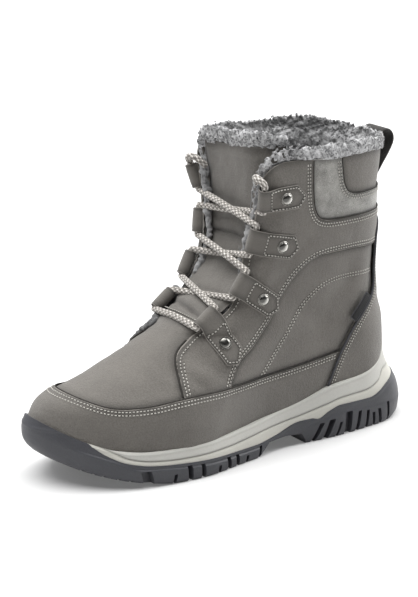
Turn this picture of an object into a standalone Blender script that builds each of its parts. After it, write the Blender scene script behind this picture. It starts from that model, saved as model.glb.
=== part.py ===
"""Ankle boot for the left foot: a lace-up winter boot with a fleece-lined shaft.

Units are metres, +Z is up, the toe points to -Y and the outer side of the foot to +X. The origin
lies on the floor under the middle of the boot. The tables below are in millimetres: "along" runs
forward from the back of the heel, "height" runs up from the floor.
"""
import math

import bmesh
import bpy
import numpy as np
from mathutils import Vector

MM = 0.001
LENGTH = 286.0           # heel to toe, over the sole
HEEL_Y = 143.1           # the back of the heel lies this far behind the origin
GAP = 0.3                # clearance between pieces that meet
HALF_POINTS = 20         # points on each side of a ring, heel to toe
SMOOTH_ANGLE = 35.0      # sharper edges than this stay crisp
# How far the cutters reach past the boot.
BESIDE = 90.0
BEHIND = -20.0
AHEAD = 300.0
BELOW = -20.0
ABOVE = 240.0

# Sole ---------------------------------------------------------------------------------------
# Plan of the sole: where its centre line and its half width lie along the foot.
PLAN = {
    "along":  (0, 30, 70, 110, 150, 190, 225, 255, 285),
    "centre": (0, 0, 1, 2, 2.5, 1.5, -1.2, -4.5, -9),
    "half":   (32.5, 34.5, 37, 34.5, 40.5, 48, 47, 42.5, 36),
}
HEEL_ROUND = 34.0        # length over which the heel end rounds off
TOE_ROUND = 75.0         # and the toe end
# Side wall of the sole, from the underside (level 0) to the rim (level 1).
WALL = {
    "level": (0, 0.08, 0.25, 0.4, 0.55, 0.7, 0.85, 1),
    "back":  (4, 1.2, 0.2, 2.2, 6.8, 11.2, 13.8, 14.6),
    "front": (280, 283, 285.5, 286, 286, 285.5, 284.5, 283.5),
    "inset": (2, 0.6, 0, 0, 0.2, 0.5, 1, 1.8),
}
# Heights along the foot: underside with toe spring, rim of the cup, bed inside the cup.
UNDER = {"along": (0, 14, 205, 222, 240, 256, 270, 290), "height": (2.5, 0, 0, 2, 5.5, 10, 15.5, 26)}
RIM = {
    "along":  (0, 18, 30, 50, 70, 110, 150, 190, 225, 245, 262, 290),
    "height": (59, 56, 45, 39, 37.5, 28.5, 24, 22.6, 23.2, 26, 32.5, 49),
}
BED = {
    "along":  (0, 50, 70, 110, 150, 190, 225, 245, 262, 290),
    "height": (32.5, 32.5, 31, 22.5, 18, 16.6, 17.2, 20, 26, 41),
}
# Line between the black outsole and the pale midsole. It climbs over the rim at the toe bumper.
TREAD_LINE = {
    "along":  (-10, 14, 24, 33, 42, 69, 78, 88, 92, 101, 124, 140, 190, 226, 241, 249, 258, 266),
    "height": (33, 31, 28, 24, 21.5, 22.3, 20, 15.8, 17, 17, 11.6, 9.8, 11.8, 14.6, 18, 22, 29, 40),
}
TREAD_STEP = 16          # the line has a corner at least this often
ARCH = ((97, -9), (97, 2), (101, 8), (115, 9), (129, 8.5), (137, 1), (137, -9))   # side view
# Slots in the sole's edge: "foot" and "head" are along values at the bottom and top of a slot.
HEEL_SLOTS = {
    "foot":  (90, 80.5, 72.5, 64.5, 55, 46, 39.5, 33, 24),
    "head":  (79, 73, 70, 64, 57.5, 49.5, 42.5, 34.5, 24.5),
    "top":   (12.5, 14, 10, 15.5, 16, 14.5, 13.5, 11.5, 14),
    "width": (2.4, 2.4, 1.8, 3, 2.4, 2.4, 1.8, 1.8, 2),
}
BALL_SLOTS = {
    "foot":  (230, 211, 200, 190, 176, 168, 159, 150),
    "head":  (232, 212, 201.5, 191.5, 177, 169.5, 160.5, 151.5),
    "top":   (9.5, 5, 8, 8, 5, 7.5, 7, 6.5),
    "width": (4.5, 1.8, 3, 3, 1.8, 2.4, 2.4, 2.4),
}
SLOT_DEPTH = 9.0         # how far a slot runs in from the sole's edge
GROOVES = (28, 42, 56, 70, 84, 155, 172, 195, 218, 236)   # across the underside
GROOVE_DEPTH = 3.0
GROOVE_WIDTH = 3.0

# Upper --------------------------------------------------------------------------------------
# A section through the upper at each height: its back and front ends along the foot, half
# widths from heel to toe, and the lengths over which its back (tail) and front (nose) round.
UPPER = {
    "height": (25, 38, 50, 62, 75, 83, 88, 92, 102, 112, 125, 140, 170, 205),
    "back":   (17, 17.5, 18, 19, 20.5, 21.5, 22, 22, 23, 24, 24, 23.5, 24, 20.5),
    "front":  (280, 275.5, 267, 248, 218, 200, 188, 184, 175, 164.5, 155.5, 149.5, 146.5, 146),
    "heel":   (31, 31.5, 32, 32.5, 32, 32, 32, 32, 32, 32.5, 34, 36, 41, 44),
    "waist":  (31.5, 32.5, 33.5, 34, 34, 34.5, 34.5, 34.5, 35, 36, 38, 40, 44, 47.5),
    "ball":   (44, 45.5, 45, 42, 39, 37.5, 37, 37, 37, 37.5, 39, 41, 44.5, 47.5),
    "toe":    (39.5, 40, 40, 35, 32.5, 32, 32.5, 33, 34, 36, 38.5, 40.5, 44.5, 47),
    "tail":   (31, 31, 32, 33, 34, 34, 34, 34, 34, 34, 35, 36, 38, 40),
    "nose":   (74, 72, 68, 66, 60, 52, 42, 30, 23, 22, 20, 19, 17, 16),
}
STATIONS = (0, 0.2, 0.42, 0.68, 0.9, 1)     # heel end, heel, waist, ball, toe, toe end
FIRST = 25.0             # nominal height of the section at the rim
LEVEL_OUT = 105.0        # sections above this height are level
BENDS_OVER = 60.0        # height over which the sole's sideways curve dies out
ROUNDNESS = 2.2          # 2 is an ellipse, more is squarer
SHAFT_FROM = 160.0       # above this height the sections follow the collar
COLLAR = {"along": (20, 70, 110, 145), "height": (203, 206, 208.5, 210)}
LEVELS = (FIRST, 31, 38, 45, 52, 59, 66, 73, 81, 89, 97, 106, 115, 126, 139, 153, 168, 182, 194)
COLLAR_LEVELS = {"level": (202, 205), "inset": (0, 2)}   # the collar's rounded top
CUP_LEVELS = LEVELS[1:6]    # the sole's cup reaches up the upper over these
WALL_FOOT = 5.0          # leather and fleece around the foot
WALL_COLLAR = 8.0        # leather, padding and deep fleece at the collar
WALL_FROM = 80.0         # the wall starts to thicken here
WALL_TO = 190.0
# Side view of the throat's edge, from the vamp up to the collar's front corner.
THROAT = (
    (210, 88), (184, 88.5), (175, 89), (166, 93), (153, 103), (142.5, 114.5), (135, 127),
    (131, 140), (128.5, 156), (127.5, 170), (130, 184), (132, 192), (131, 198), (127, 203), (118, 207),
    (100, 212),
)
# The tongue's outer face from its base under the vamp to its top: its half width, how far its edges
# lie behind its middle (crown), and how it rises to the outer side (tilt).
TONGUE = {
    "along":  (186, 178, 171, 164, 157, 149, 142, 135.5, 131, 128.8, 129, 130.5, 132),
    "height": (81.3, 84.2, 88.5, 94, 100.5, 109, 119, 133, 147, 162, 180, 192, 204),
    "half":   (15, 16.5, 18, 19.5, 20.5, 23.5, 25.5, 25.5, 26.5, 30, 33.5, 34.5, 34),
    "crown":  (3.5, 3.5, 3.5, 3.5, 3.5, 3.5, 3.5, 3.5, 3, 2, 1.2, 1, 1),
    "tilt":   (0, 0, 0, 0, 0, 0, 0, 0, 0, 0.02, 0.08, 0.13, 0.16),
}
TONGUE_THICK = 7.5
TONGUE_COLUMNS = 9       # points across the tongue
INSOLE_THICK = 4.0
INSOLE_EDGE = 1.0        # bevel round the insole's top

# Lacing: the ends of the hole through each strap loop, lowest loop first (x is mirrored).
LOOPS = {
    "x_low":      (26, 31, 31, 38.5),
    "along_low":  (176.5, 152, 139, 133),
    "height_low": (94.3, 112, 139, 168),
    "x_top":      (26, 33, 34, 44),
    "along_top":  (163.5, 143, 135.5, 136),
    "height_top": (104, 127, 156.5, 185),
    "rivet_along":  (162, 134, 122, 121),
    "rivet_height": (82.5, 109, 144, 176.5),
}
STRAP_THICK = 1.4
STRAP_LIFT = 1.25       # clearance under a strap, more than GAP because it spans a curve
STRAP_WIDTH = 15.0
STRAP_TIP = 13.5         # from the rivet to the tip of the strap
STRAP_POINT = 6.0        # length of the pointed end
STRAP_NARROW = 0.3       # width of the tip, as a part of the strap's
STRAP_SPOTS = (0.66, 0.48, 0.33, 0.2)     # places between the point and the loop
STRAP_LEAVES = 0.4       # the last part of the strap lifts off the upper towards the loop
LOOP_RADIUS = 3.95       # to the middle of the strap's thickness
LOOP_STEPS = 8
LOOP_STEP = 34.0         # degrees the strap turns round the lace at each step
RIVET_RADIUS = 3.4
RIVET_HEIGHT = 1.9
RIVET_CLEAR = 0.9        # over the strap's curve
RIVET_SIDES = 12
RIVET_PROFILE = ((0, 1), (0.45, 0.95), (0.85, 0.72), (1, 0.35), (1, 0), (0, 0))   # parts of both
LACE_RADIUS = 2.4
LACE_STEP = 11.0         # between the points along the lace
LACE_TURN = 2.0          # how far the lace runs straight out of a loop
CROSSING = 2.2           # each strand is lifted or lowered by this where two cross
BAR_SAG = 2.0            # how far the lowest strand bows forwards

# Overlays that stand proud of the upper: side views of their edges.
OVERLAY_THICK = 1.2
OVERLAY_LIFT = 0.5       # clearance under an overlay
RIM_CLEAR = 1.2          # clearance between an overlay and the sole's rim
COUNTER = ((0, 134), (30, 132), (35, 122), (36, 97), (57, 75), (67, 58), (78, 30), (96, BELOW))
MUDGUARD = {
    "along":  (40, 117, 164, 197, 221, 243, 258, 290),
    "height": (59, 54, 53.5, 53.5, 51.5, 52, 57, 66),
}
MUDGUARD_STEP = 12.5
LABEL = {"along": 48, "height": 88, "length": 22, "width": 8, "thick": 0.9, "tilt": 48}

# Pull loop at the back of the collar: side view of the strap's middle line.
PULL_LOOP = ((22.4, 158), (22, 171), (14, 181), (6, 190), (3, 197), (6.5, 202.5), (14, 205.5), (24, 206.2))
PULL_WIDTH = 20.0
PULL_THICK = 1.8
PULL_STEP = 4.0


def column(table, name, at, key):
    """Read a named column of a table along a curve that never overshoots its points."""
    xs = np.asarray(table[key], float)
    ys = np.asarray(table[name], float)
    step = np.diff(xs)
    rise = np.diff(ys) / step
    slope = np.concatenate([rise[:1], np.zeros(len(xs) - 2), rise[-1:]])
    for i in range(1, len(xs) - 1):
        if rise[i - 1] * rise[i] > 0:
            before = 2 * step[i] + step[i - 1]
            after = step[i] + 2 * step[i - 1]
            slope[i] = (before + after) / (before / rise[i - 1] + after / rise[i])
    at = np.clip(np.asarray(at, float), xs[0], xs[-1])
    i = np.clip(np.searchsorted(xs, at) - 1, 0, len(xs) - 2)
    u = (at - xs[i]) / step[i]
    bend = slope[i] * step[i] * u * (1 - u) ** 2 - slope[i + 1] * step[i] * u ** 2 * (1 - u)
    return ys[i] + (ys[i + 1] - ys[i]) * u * u * (3 - 2 * u) + bend


def along_foot(table, at, name="height"):
    return column(table, name, at, "along")


def ease(x):
    x = np.clip(x, 0, 1)
    return x * x * (3 - 2 * x)


def cap(distance, length):
    """Width factor of a rounded end: 0 at its tip, 1 from "length" inwards."""
    k = np.clip(1 - np.asarray(distance, float) / length, 0, 1)
    return (1 - k ** ROUNDNESS) ** (1 / ROUNDNESS)


def place(points):
    """Millimetres (x, along, height) to metres in the boot's frame."""
    points = np.asarray(points, float)
    return np.stack([points[..., 0], HEEL_Y - points[..., 1], points[..., 2]], -1) * MM


def ring_stations():
    return (1 - np.cos(np.linspace(0, math.pi, HALF_POINTS + 1))) / 2


def both_sides(centre, half, along, height):
    """A closed ring, from the heel along the outer side to the toe and back on the inner side."""
    outer = np.stack([centre + half, along, height], -1)
    inner = np.stack([centre - half, along, height], -1)
    return np.concatenate([outer, inner[-2:0:-1]])


def sole_ring(level):
    back, front, inset = (column(WALL, name, level, "level") for name in ("back", "front", "inset"))
    along = back + ring_stations() * (front - back)
    half = along_foot(PLAN, along, "half") - inset
    half = half * cap(along - back, HEEL_ROUND) * cap(front - along, TOE_ROUND)
    under = along_foot(UNDER, along)
    height = under + level * (along_foot(RIM, along) - under)
    return both_sides(along_foot(PLAN, along, "centre"), half, along, height)


def section(height):
    return {name: float(column(UPPER, name, height, "height")) for name in UPPER if name != "height"}


def section_half(sec, along):
    """Half width of the upper's section at a place along the foot."""
    part = (along - sec["back"]) / (sec["front"] - sec["back"])
    widths = (sec["heel"] * 0.97, sec["heel"], sec["waist"], sec["ball"], sec["toe"], sec["toe"] * 0.93)
    half = column({"t": STATIONS, "half": widths}, "half", part, "t")
    return half * cap(along - sec["back"], sec["tail"]) * cap(sec["front"] - along, sec["nose"])


def section_centre(height, along):
    return along_foot(PLAN, along, "centre") * (1 - ease((height - FIRST) / BENDS_OVER))


def section_height(height, along):
    """Real height of a section: it follows the rim below, is level, then follows the collar."""
    low = (along_foot(RIM, along) - FIRST) * (1 - ease((height - FIRST) / (LEVEL_OUT - FIRST)))
    top = UPPER["height"][-1]
    high = (along_foot(COLLAR, along) - top) * max(0.0, height - SHAFT_FROM) / (top - SHAFT_FROM)
    return height + low + high


def upper_ring(height):
    sec = section(height)
    along = sec["back"] + ring_stations() * (sec["front"] - sec["back"])
    half = section_half(sec, along)
    return both_sides(section_centre(height, along), half, along, section_height(height, along))


def widened(ring, amount):
    """Move a ring's points outwards in plan."""
    ahead = np.roll(ring, -1, 0) - np.roll(ring, 1, 0)
    normal = np.stack([-ahead[:, 1], ahead[:, 0]], -1)
    normal /= np.linalg.norm(normal, axis=1, keepdims=True)
    moved = ring.copy()
    moved[:, :2] -= normal * amount
    return moved


def at_height(ring, table, lift=0.0):
    moved = ring.copy()
    moved[:, 2] = along_foot(table, ring[:, 1]) + lift
    return moved


def surface(along, height):
    """Half width of the upper's outside at a point of its side view, and the section it is on."""
    nominal = height
    for _ in range(30):
        nominal += 0.6 * (height - section_height(nominal, along))
    return float(section_half(section(nominal), along)), nominal


def skin_point(side, along, height, lift=0.0):
    """A point on the upper's outside, lifted along its normal; side is 1 (outer) or -1 (inner)."""
    def spot(s, h):
        half, nominal = surface(s, h)
        return np.array([section_centre(nominal, s) + side * half, s, h])
    here = spot(along, height)
    normal = np.cross(spot(along + 0.5, height) - here, spot(along, height + 0.5) - here) * side
    normal /= np.linalg.norm(normal)
    return here + normal * lift, normal


# Blender helpers ------------------------------------------------------------------------------
def clear_scene():
    for old in list(bpy.data.objects):
        bpy.data.objects.remove(old, do_unlink=True)


def collection(name):
    made = bpy.data.collections.new(name)
    bpy.context.scene.collection.children.link(made)
    return made


def material(name, colour, roughness, metallic=0.0):
    made = bpy.data.materials.new(name)
    made.use_nodes = True
    shader = made.node_tree.nodes["Principled BSDF"]
    shader.inputs["Base Color"].default_value = (*colour, 1.0)
    shader.inputs["Roughness"].default_value = roughness
    shader.inputs["Metallic"].default_value = metallic
    made.diffuse_color = (*colour, 1.0)
    return made


def mesh_object(name, vertices, faces, home, look=None):
    mesh = bpy.data.meshes.new(name)
    mesh.from_pydata([tuple(v) for v in vertices], [], faces)
    mesh.validate()
    made = bpy.data.objects.new(name, mesh)
    home.objects.link(made)
    if look:
        mesh.materials.append(look)
        mesh.shade_smooth()
        mesh.set_sharp_from_angle(angle=math.radians(SMOOTH_ANGLE))
    return made


def from_bmesh(name, work, home, look=None):
    mesh = bpy.data.meshes.new(name)
    work.to_mesh(mesh)
    work.free()
    made = bpy.data.objects.new(name, mesh)
    home.objects.link(made)
    if look:
        mesh.materials.append(look)
    return made


def stacked(name, rings, home, look=None, closed=True):
    """Loft between rings of equal length, from the lowest up; closed adds both end faces."""
    count = len(rings[0])
    faces = []
    for level in range(len(rings) - 1):
        low, high = level * count, (level + 1) * count
        for i in range(count):
            j = (i + 1) % count
            faces.append((low + j, low + i, high + i, high + j))
    if closed:
        top = (len(rings) - 1) * count
        for base, flip in ((0, False), (top, True)):
            for i in range(count // 2):
                a, b = i, (i + 1) % count
                c, d = (count - i - 1) % count, (count - i) % count
                corners = list(dict.fromkeys((a, b, c, d)))
                if i == 0:
                    corners = [0, 1, count - 1]
                if flip:
                    corners.reverse()
                faces.append(tuple(base + k for k in corners))
    return mesh_object(name, place(np.concatenate(rings)), faces, home, look)


def face_out(work):
    bmesh.ops.recalc_face_normals(work, faces=work.faces)


def prism(name, outline, x_from, x_to, home):
    """A side-view outline of (along, height) corners, drawn out from x_from to x_to."""
    work = bmesh.new()
    corners = [work.verts.new(spot) for spot in place([(x_from, *corner) for corner in outline])]
    sides = bmesh.ops.extrude_face_region(work, geom=[work.faces.new(corners)])
    moved = [part for part in sides["geom"] if isinstance(part, bmesh.types.BMVert)]
    bmesh.ops.translate(work, verts=moved, vec=((x_to - x_from) * MM, 0, 0))
    face_out(work)
    return from_bmesh(name, work, home)


def joined_cutter(name, pieces, home):
    """Several cutters that don't touch, made one object."""
    work = bmesh.new()
    for piece in pieces:
        work.from_mesh(piece.data)
        bpy.data.objects.remove(piece, do_unlink=True)
    return from_bmesh(name, work, home)


def sheet(name, rows, home, look, flip=False):
    """An open surface through rows of points of equal length."""
    count = len(rows[0])
    faces = []
    for row in range(len(rows) - 1):
        for i in range(count - 1):
            a = row * count + i
            quad = (a, a + 1, a + count + 1, a + count)
            faces.append(quad[::-1] if flip else quad)
    return mesh_object(name, place(np.concatenate(rows)), faces, home, look)


def boolean(target, cutter, operation="DIFFERENCE"):
    cutter.hide_render = True
    cutter.display_type = "WIRE"
    modifier = target.modifiers.new(cutter.name, "BOOLEAN")
    modifier.operation = operation
    modifier.object = cutter
    modifier.solver = "EXACT"


def solidify(target, thickness, offset):
    modifier = target.modifiers.new("Thickness", "SOLIDIFY")
    modifier.thickness = thickness * MM
    modifier.offset = offset
    modifier.use_even_offset = True
    return modifier


# Sole -----------------------------------------------------------------------------------------
def sole_block(name, home, look):
    return stacked(name, [sole_ring(level) for level in WALL["level"]], home, look)


def tread_side(name, above, home):
    """Everything above or below the tread line, with half of the gap kept on each side."""
    shift = GAP / 2 if above else -GAP / 2
    last = TREAD_LINE["along"][-1]
    steps = sorted({*TREAD_LINE["along"], *range(0, last, TREAD_STEP)})
    line = [(along, float(along_foot(TREAD_LINE, along)) - shift) for along in steps]
    line.append((AHEAD, LENGTH - AHEAD + TREAD_LINE["height"][-1] + (AHEAD - last)))
    far = ABOVE if above else BELOW
    return prism(name, [(line[0][0], far), *line, (AHEAD, far)], -BESIDE, BESIDE, home)


def cup_cutter(home):
    first = upper_ring(FIRST)
    rings = [widened(at_height(first, BED), GAP), widened(first, GAP)]
    rings += [widened(upper_ring(height), GAP) for height in CUP_LEVELS]
    return stacked("cup_cutter", rings, home)


def sole_edge(along):
    half = along_foot(PLAN, along, "half")
    return half * cap(along, HEEL_ROUND) * cap(LENGTH - along, TOE_ROUND)


def slot_cutters(table, side, home):
    """Slanted slots in the sole's edge, on one side of the foot."""
    slots = []
    for foot, head, top, width in zip(table["foot"], table["head"], table["top"], table["width"]):
        start = foot + (head - foot) * BELOW / top
        outline = [(start - width / 2, BELOW), (start + width / 2, BELOW),
                   (head + width / 2, top), (head - width / 2, top)]
        edge = float(sole_edge(foot))
        middle = float(along_foot(PLAN, foot, "centre"))
        inner = middle + side * (edge - SLOT_DEPTH)
        slots.append(prism("slot", outline, inner, side * BESIDE, home))
    return slots


def groove_cutters(home):
    grooves = []
    for along in GROOVES:
        floor = float(along_foot(UNDER, along)) + GROOVE_DEPTH
        near, far = along - GROOVE_WIDTH / 2, along + GROOVE_WIDTH / 2
        outline = [(near, BELOW), (far, BELOW), (far, floor), (near, floor)]
        grooves.append(prism("groove", outline, -BESIDE, BESIDE, home))
    return grooves


def build_sole(boot, cutters):
    rubber = material("black rubber", (0.055, 0.055, 0.06), 0.6)
    foam = material("pale foam", (0.52, 0.51, 0.47), 0.65)
    cup = cup_cutter(cutters)
    outsole = sole_block("outsole", boot, rubber)
    boolean(outsole, tread_side("above_tread_line", True, cutters))
    boolean(outsole, cup)
    boolean(outsole, prism("arch", ARCH, -BESIDE, BESIDE, cutters))
    slots = []
    for side in (1, -1):
        slots += slot_cutters(HEEL_SLOTS, side, cutters) + slot_cutters(BALL_SLOTS, side, cutters)
    boolean(outsole, joined_cutter("slots", slots, cutters))
    boolean(outsole, joined_cutter("grooves", groove_cutters(cutters), cutters))
    midsole = sole_block("midsole", boot, foam)
    boolean(midsole, tread_side("below_tread_line", False, cutters))
    boolean(midsole, cup)


def build_insole(boot):
    fleece = material("grey fleece", (0.2, 0.2, 0.2), 0.95)
    outline = widened(upper_ring(FIRST), -(WALL_FOOT + 2 * GAP))
    rings = [at_height(outline, BED, GAP), at_height(outline, BED, GAP + INSOLE_THICK - INSOLE_EDGE)]
    rings.append(at_height(widened(outline, -INSOLE_EDGE), BED, GAP + INSOLE_THICK))
    stacked("insole", rings, boot, fleece)


# Upper ----------------------------------------------------------------------------------------
def build_upper(boot, cutters):
    leather = material("taupe nubuck", (0.13, 0.122, 0.11), 0.8)
    rings = [at_height(upper_ring(FIRST), BED, GAP)] + [upper_ring(level) for level in LEVELS]
    for level, inset in zip(COLLAR_LEVELS["level"], COLLAR_LEVELS["inset"]):
        rings.append(widened(upper_ring(level), -inset))
    upper = stacked("upper", rings, boot, leather, closed=False)
    wall = upper.vertex_groups.new(name="wall")
    count = len(rings[0])
    for row, level in enumerate([FIRST, *LEVELS, *COLLAR_LEVELS["level"]]):
        share = float(ease((level - WALL_FROM) / (WALL_TO - WALL_FROM)))
        thick = WALL_FOOT + (WALL_COLLAR - WALL_FOOT) * share
        wall.add(list(range(row * count, (row + 1) * count)), thick / WALL_COLLAR, "REPLACE")
    solidify(upper, WALL_COLLAR, -1).vertex_group = "wall"
    corners = [(THROAT[-1][0], ABOVE), (AHEAD, ABOVE), (AHEAD, THROAT[0][1])]
    boolean(upper, prism("throat", [*THROAT, *corners], -BESIDE, BESIDE, cutters))


def tongue_face():
    """Rows of points across the tongue's outer face, from its base up."""
    middle = np.column_stack([TONGUE["along"], TONGUE["height"]]).astype(float)
    run = np.gradient(middle, axis=0)
    inward = np.stack([-run[:, 1], run[:, 0]], -1)
    inward /= np.linalg.norm(inward, axis=1, keepdims=True)
    rows = []
    across = np.linspace(-1, 1, TONGUE_COLUMNS)
    shape = zip(middle, inward, TONGUE["half"], TONGUE["crown"], TONGUE["tilt"])
    for spot, away, half, crown, tilt in shape:
        side = spot + away * crown * across[:, None] ** 2
        row = np.column_stack([across * half, side])
        row[:, 2] += row[:, 0] * tilt
        rows.append(row)
    return rows


def build_tongue(boot):
    leather = material("tongue nubuck", (0.12, 0.112, 0.1), 0.8)
    tongue = sheet("tongue", tongue_face(), boot, leather)
    solidify(tongue, TONGUE_THICK, -1)


def overlay_shell(name, levels, boot, look):
    """A band of the upper's own surface, just outside it and as thick as the overlay."""
    rings = []
    for height in (LEVELS[level] for level in levels):
        here = upper_ring(height)
        ahead = np.roll(here, -1, 0) - np.roll(here, 1, 0)
        up = upper_ring(height + 0.5) - upper_ring(height - 0.5)
        normal = np.cross(ahead, up)
        normal /= np.linalg.norm(normal, axis=1, keepdims=True)
        rings.append(here + normal * OVERLAY_LIFT)
    rings[0] = at_height(rings[0], RIM, RIM_CLEAR)
    shell = stacked(name, rings, boot, look, closed=False)
    solidify(shell, OVERLAY_THICK, 1)
    return shell


def build_overlays(boot, cutters):
    leather = material("overlay nubuck", (0.115, 0.107, 0.096), 0.8)
    counter = overlay_shell("heel_counter", range(0, 16, 2), boot, leather)
    ahead = [*COUNTER, (AHEAD, BELOW), (AHEAD, ABOVE), (COUNTER[0][0], ABOVE)]
    boolean(counter, prism("ahead_of_counter", ahead, -BESIDE, BESIDE, cutters))
    guard = overlay_shell("mudguard", range(8), boot, leather)
    first, last = MUDGUARD["along"][0], MUDGUARD["along"][-1]
    over = [(along, float(along_foot(MUDGUARD, along))) for along in np.arange(first, last, MUDGUARD_STEP)]
    over += [(AHEAD, MUDGUARD["height"][-1]), (AHEAD, ABOVE), (first, ABOVE)]
    boolean(guard, prism("over_guard", over, -BESIDE, BESIDE, cutters))
    behind = [(along + GAP, height) for along, height in COUNTER[1:]]
    behind += [(BEHIND, BELOW), (BEHIND, COUNTER[0][1])]
    boolean(guard, prism("behind_guard", behind, -BESIDE, BESIDE, cutters))


# Lacing ---------------------------------------------------------------------------------------
def loop_frame(index, side):
    """Ends of the lace hole, and the strap's directions: along the hole, outwards and forwards."""
    row = {name: values[index] for name, values in LOOPS.items()}
    low = np.array([side * row["x_low"], row["along_low"], row["height_low"]], float)
    top = np.array([side * row["x_top"], row["along_top"], row["height_top"]], float)
    rivet, out_at_rivet = skin_point(side, row["rivet_along"], row["rivet_height"])
    axis = (top - low) / np.linalg.norm(top - low)
    back = rivet - (low + top) / 2
    back -= axis * back.dot(axis)
    back /= np.linalg.norm(back)
    out = np.cross(axis, back)
    out *= math.copysign(1, out.dot(out_at_rivet))
    return low, top, axis, out, -back, rivet


def strap_column(index, side, v):
    """Middle line of a strap loop at v across its width: from its tip round the lace."""
    low, top, axis, out, ahead, rivet = loop_frame(index, side)
    centre = (low + top) / 2
    across = axis[1:] / np.linalg.norm(axis[1:])
    reach = np.linalg.norm(rivet - centre)
    length = reach + STRAP_TIP
    lift = STRAP_LIFT + STRAP_THICK / 2
    line = []
    for u in (length, length - STRAP_POINT, *(length * part for part in STRAP_SPOTS)):
        narrow = min(1.0, STRAP_NARROW + (1 - STRAP_NARROW) * (length - u) / STRAP_POINT)
        spot = centre[1:] + (rivet - centre)[1:] * u / reach + across * v * narrow
        flat, _ = skin_point(side, spot[0], spot[1], lift)
        straight = centre + out * LOOP_RADIUS - ahead * u + axis * v * narrow
        share = float(ease(u / (STRAP_LEAVES * length)))
        line.append(flat * share + straight * (1 - share))
    for step in range(LOOP_STEPS):
        turn = math.radians(step * LOOP_STEP)
        line.append(centre + axis * v + (out * math.cos(turn) + ahead * math.sin(turn)) * LOOP_RADIUS)
    return line


def strap_loop(name, index, side, home, look):
    """A pointed strap that lies on the upper and folds round the lace at the throat's edge."""
    edges = (-STRAP_WIDTH / 2, 0, STRAP_WIDTH / 2)
    strap = sheet(name, [strap_column(index, side, v) for v in edges], home, look, flip=side < 0)
    solidify(strap, STRAP_THICK, 0)


def rivet(name, index, side, home, look):
    """A domed stud, turned about the upper's normal."""
    spot, normal = skin_point(side, LOOPS["rivet_along"][index], LOOPS["rivet_height"][index])
    base = spot + normal * (STRAP_LIFT + STRAP_THICK + RIVET_CLEAR)
    profile = [(x * RIVET_RADIUS * MM, 0, z * RIVET_HEIGHT * MM) for x, z in RIVET_PROFILE]
    mesh = bpy.data.meshes.new(name)
    mesh.from_pydata(profile, [(i, i + 1) for i in range(len(profile) - 1)], [])
    mesh.materials.append(look)
    stud = bpy.data.objects.new(name, mesh)
    home.objects.link(stud)
    stud.location = place(base)
    stud.rotation_mode = "QUATERNION"
    stud.rotation_quaternion = Vector((normal[0], -normal[1], normal[2])).to_track_quat("Z", "Y")
    screw = stud.modifiers.new("Turn", "SCREW")
    screw.steps = screw.render_steps = RIVET_SIDES
    screw.use_merge_vertices = True
    screw.merge_threshold = 0.00005
    return stud


def tube(name, points, radius, home, look):
    """A round cord along points, as a closed mesh."""
    curve = bpy.data.curves.new(name, "CURVE")
    curve.dimensions = "3D"
    curve.bevel_depth = radius * MM
    curve.bevel_resolution = 2
    curve.use_fill_caps = True
    spline = curve.splines.new("POLY")
    spline.points.add(len(points) - 1)
    for point, spot in zip(spline.points, place(points)):
        point.co = (*spot, 1)
    draft = bpy.data.objects.new(name, curve)
    home.objects.link(draft)
    bpy.context.view_layer.update()
    graph = bpy.context.evaluated_depsgraph_get()
    mesh = bpy.data.meshes.new_from_object(draft.evaluated_get(graph))
    bpy.data.objects.remove(draft, do_unlink=True)
    mesh.materials.clear()
    work = bmesh.new()
    work.from_mesh(mesh)
    bmesh.ops.remove_doubles(work, verts=work.verts, dist=0.00001)
    return from_bmesh(name, work, home, look)


def through_points(points, step):
    """A smooth curve through points, with a point about every step."""
    points = [np.asarray(p, float) for p in points]
    ends = [2 * points[0] - points[1], *points, 2 * points[-1] - points[-2]]
    heading = [(c - a) / np.linalg.norm(c - a) for a, c in zip(ends, ends[2:])]
    line = []
    for start, end, leave, arrive in zip(points, points[1:], heading, heading[1:]):
        length = np.linalg.norm(end - start)
        count = max(1, round(length / step))
        for t in np.arange(count) / count:
            line.append(start * (1 + 2 * t) * (1 - t) ** 2 + end * t * t * (3 - 2 * t)
                        + (leave * t * (1 - t) ** 2 - arrive * t * t * (1 - t)) * length)
    return [*line, points[-1]]


def lace_middle(start, end, lift):
    """Middle of a crossing, lifted forwards and up by lift."""
    return (start + end) / 2 + np.array([0, 0.8, 0.6]) * lift


def lace_route(side):
    """Half of the lace: up through this side's lowest loop, then from side to side."""
    route = []
    for index in range(4):
        low, top, axis = loop_frame(index, side * (-1) ** index)[:3]
        if route:
            over = (index % 2 == 1) == (side > 0)
            route.append(lace_middle(route[-1], low, CROSSING if over else -CROSSING))
        route += [low - axis * LACE_TURN, low, (low + top) / 2, top, top + axis * LACE_TURN]
    return route


def build_lacing(boot):
    strap = material("strap nubuck", (0.11, 0.103, 0.093), 0.8)
    metal = material("dark nickel", (0.45, 0.44, 0.42), 0.25, 1.0)
    cord = material("beige cord", (0.42, 0.38, 0.33), 0.85)
    for side, word in ((1, "outer"), (-1, "inner")):
        for index in range(4):
            strap_loop(f"strap_loop_{word}_{index + 1}", index, side, boot, strap)
            rivet(f"rivet_{word}_{index + 1}", index, side, boot, metal)
    outer, inner = lace_route(1), lace_route(-1)
    bar = lace_middle(outer[1], inner[1], BAR_SAG)
    tube("lace", through_points([*outer[::-1], bar, *inner], LACE_STEP), LACE_RADIUS, boot, cord)


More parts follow.
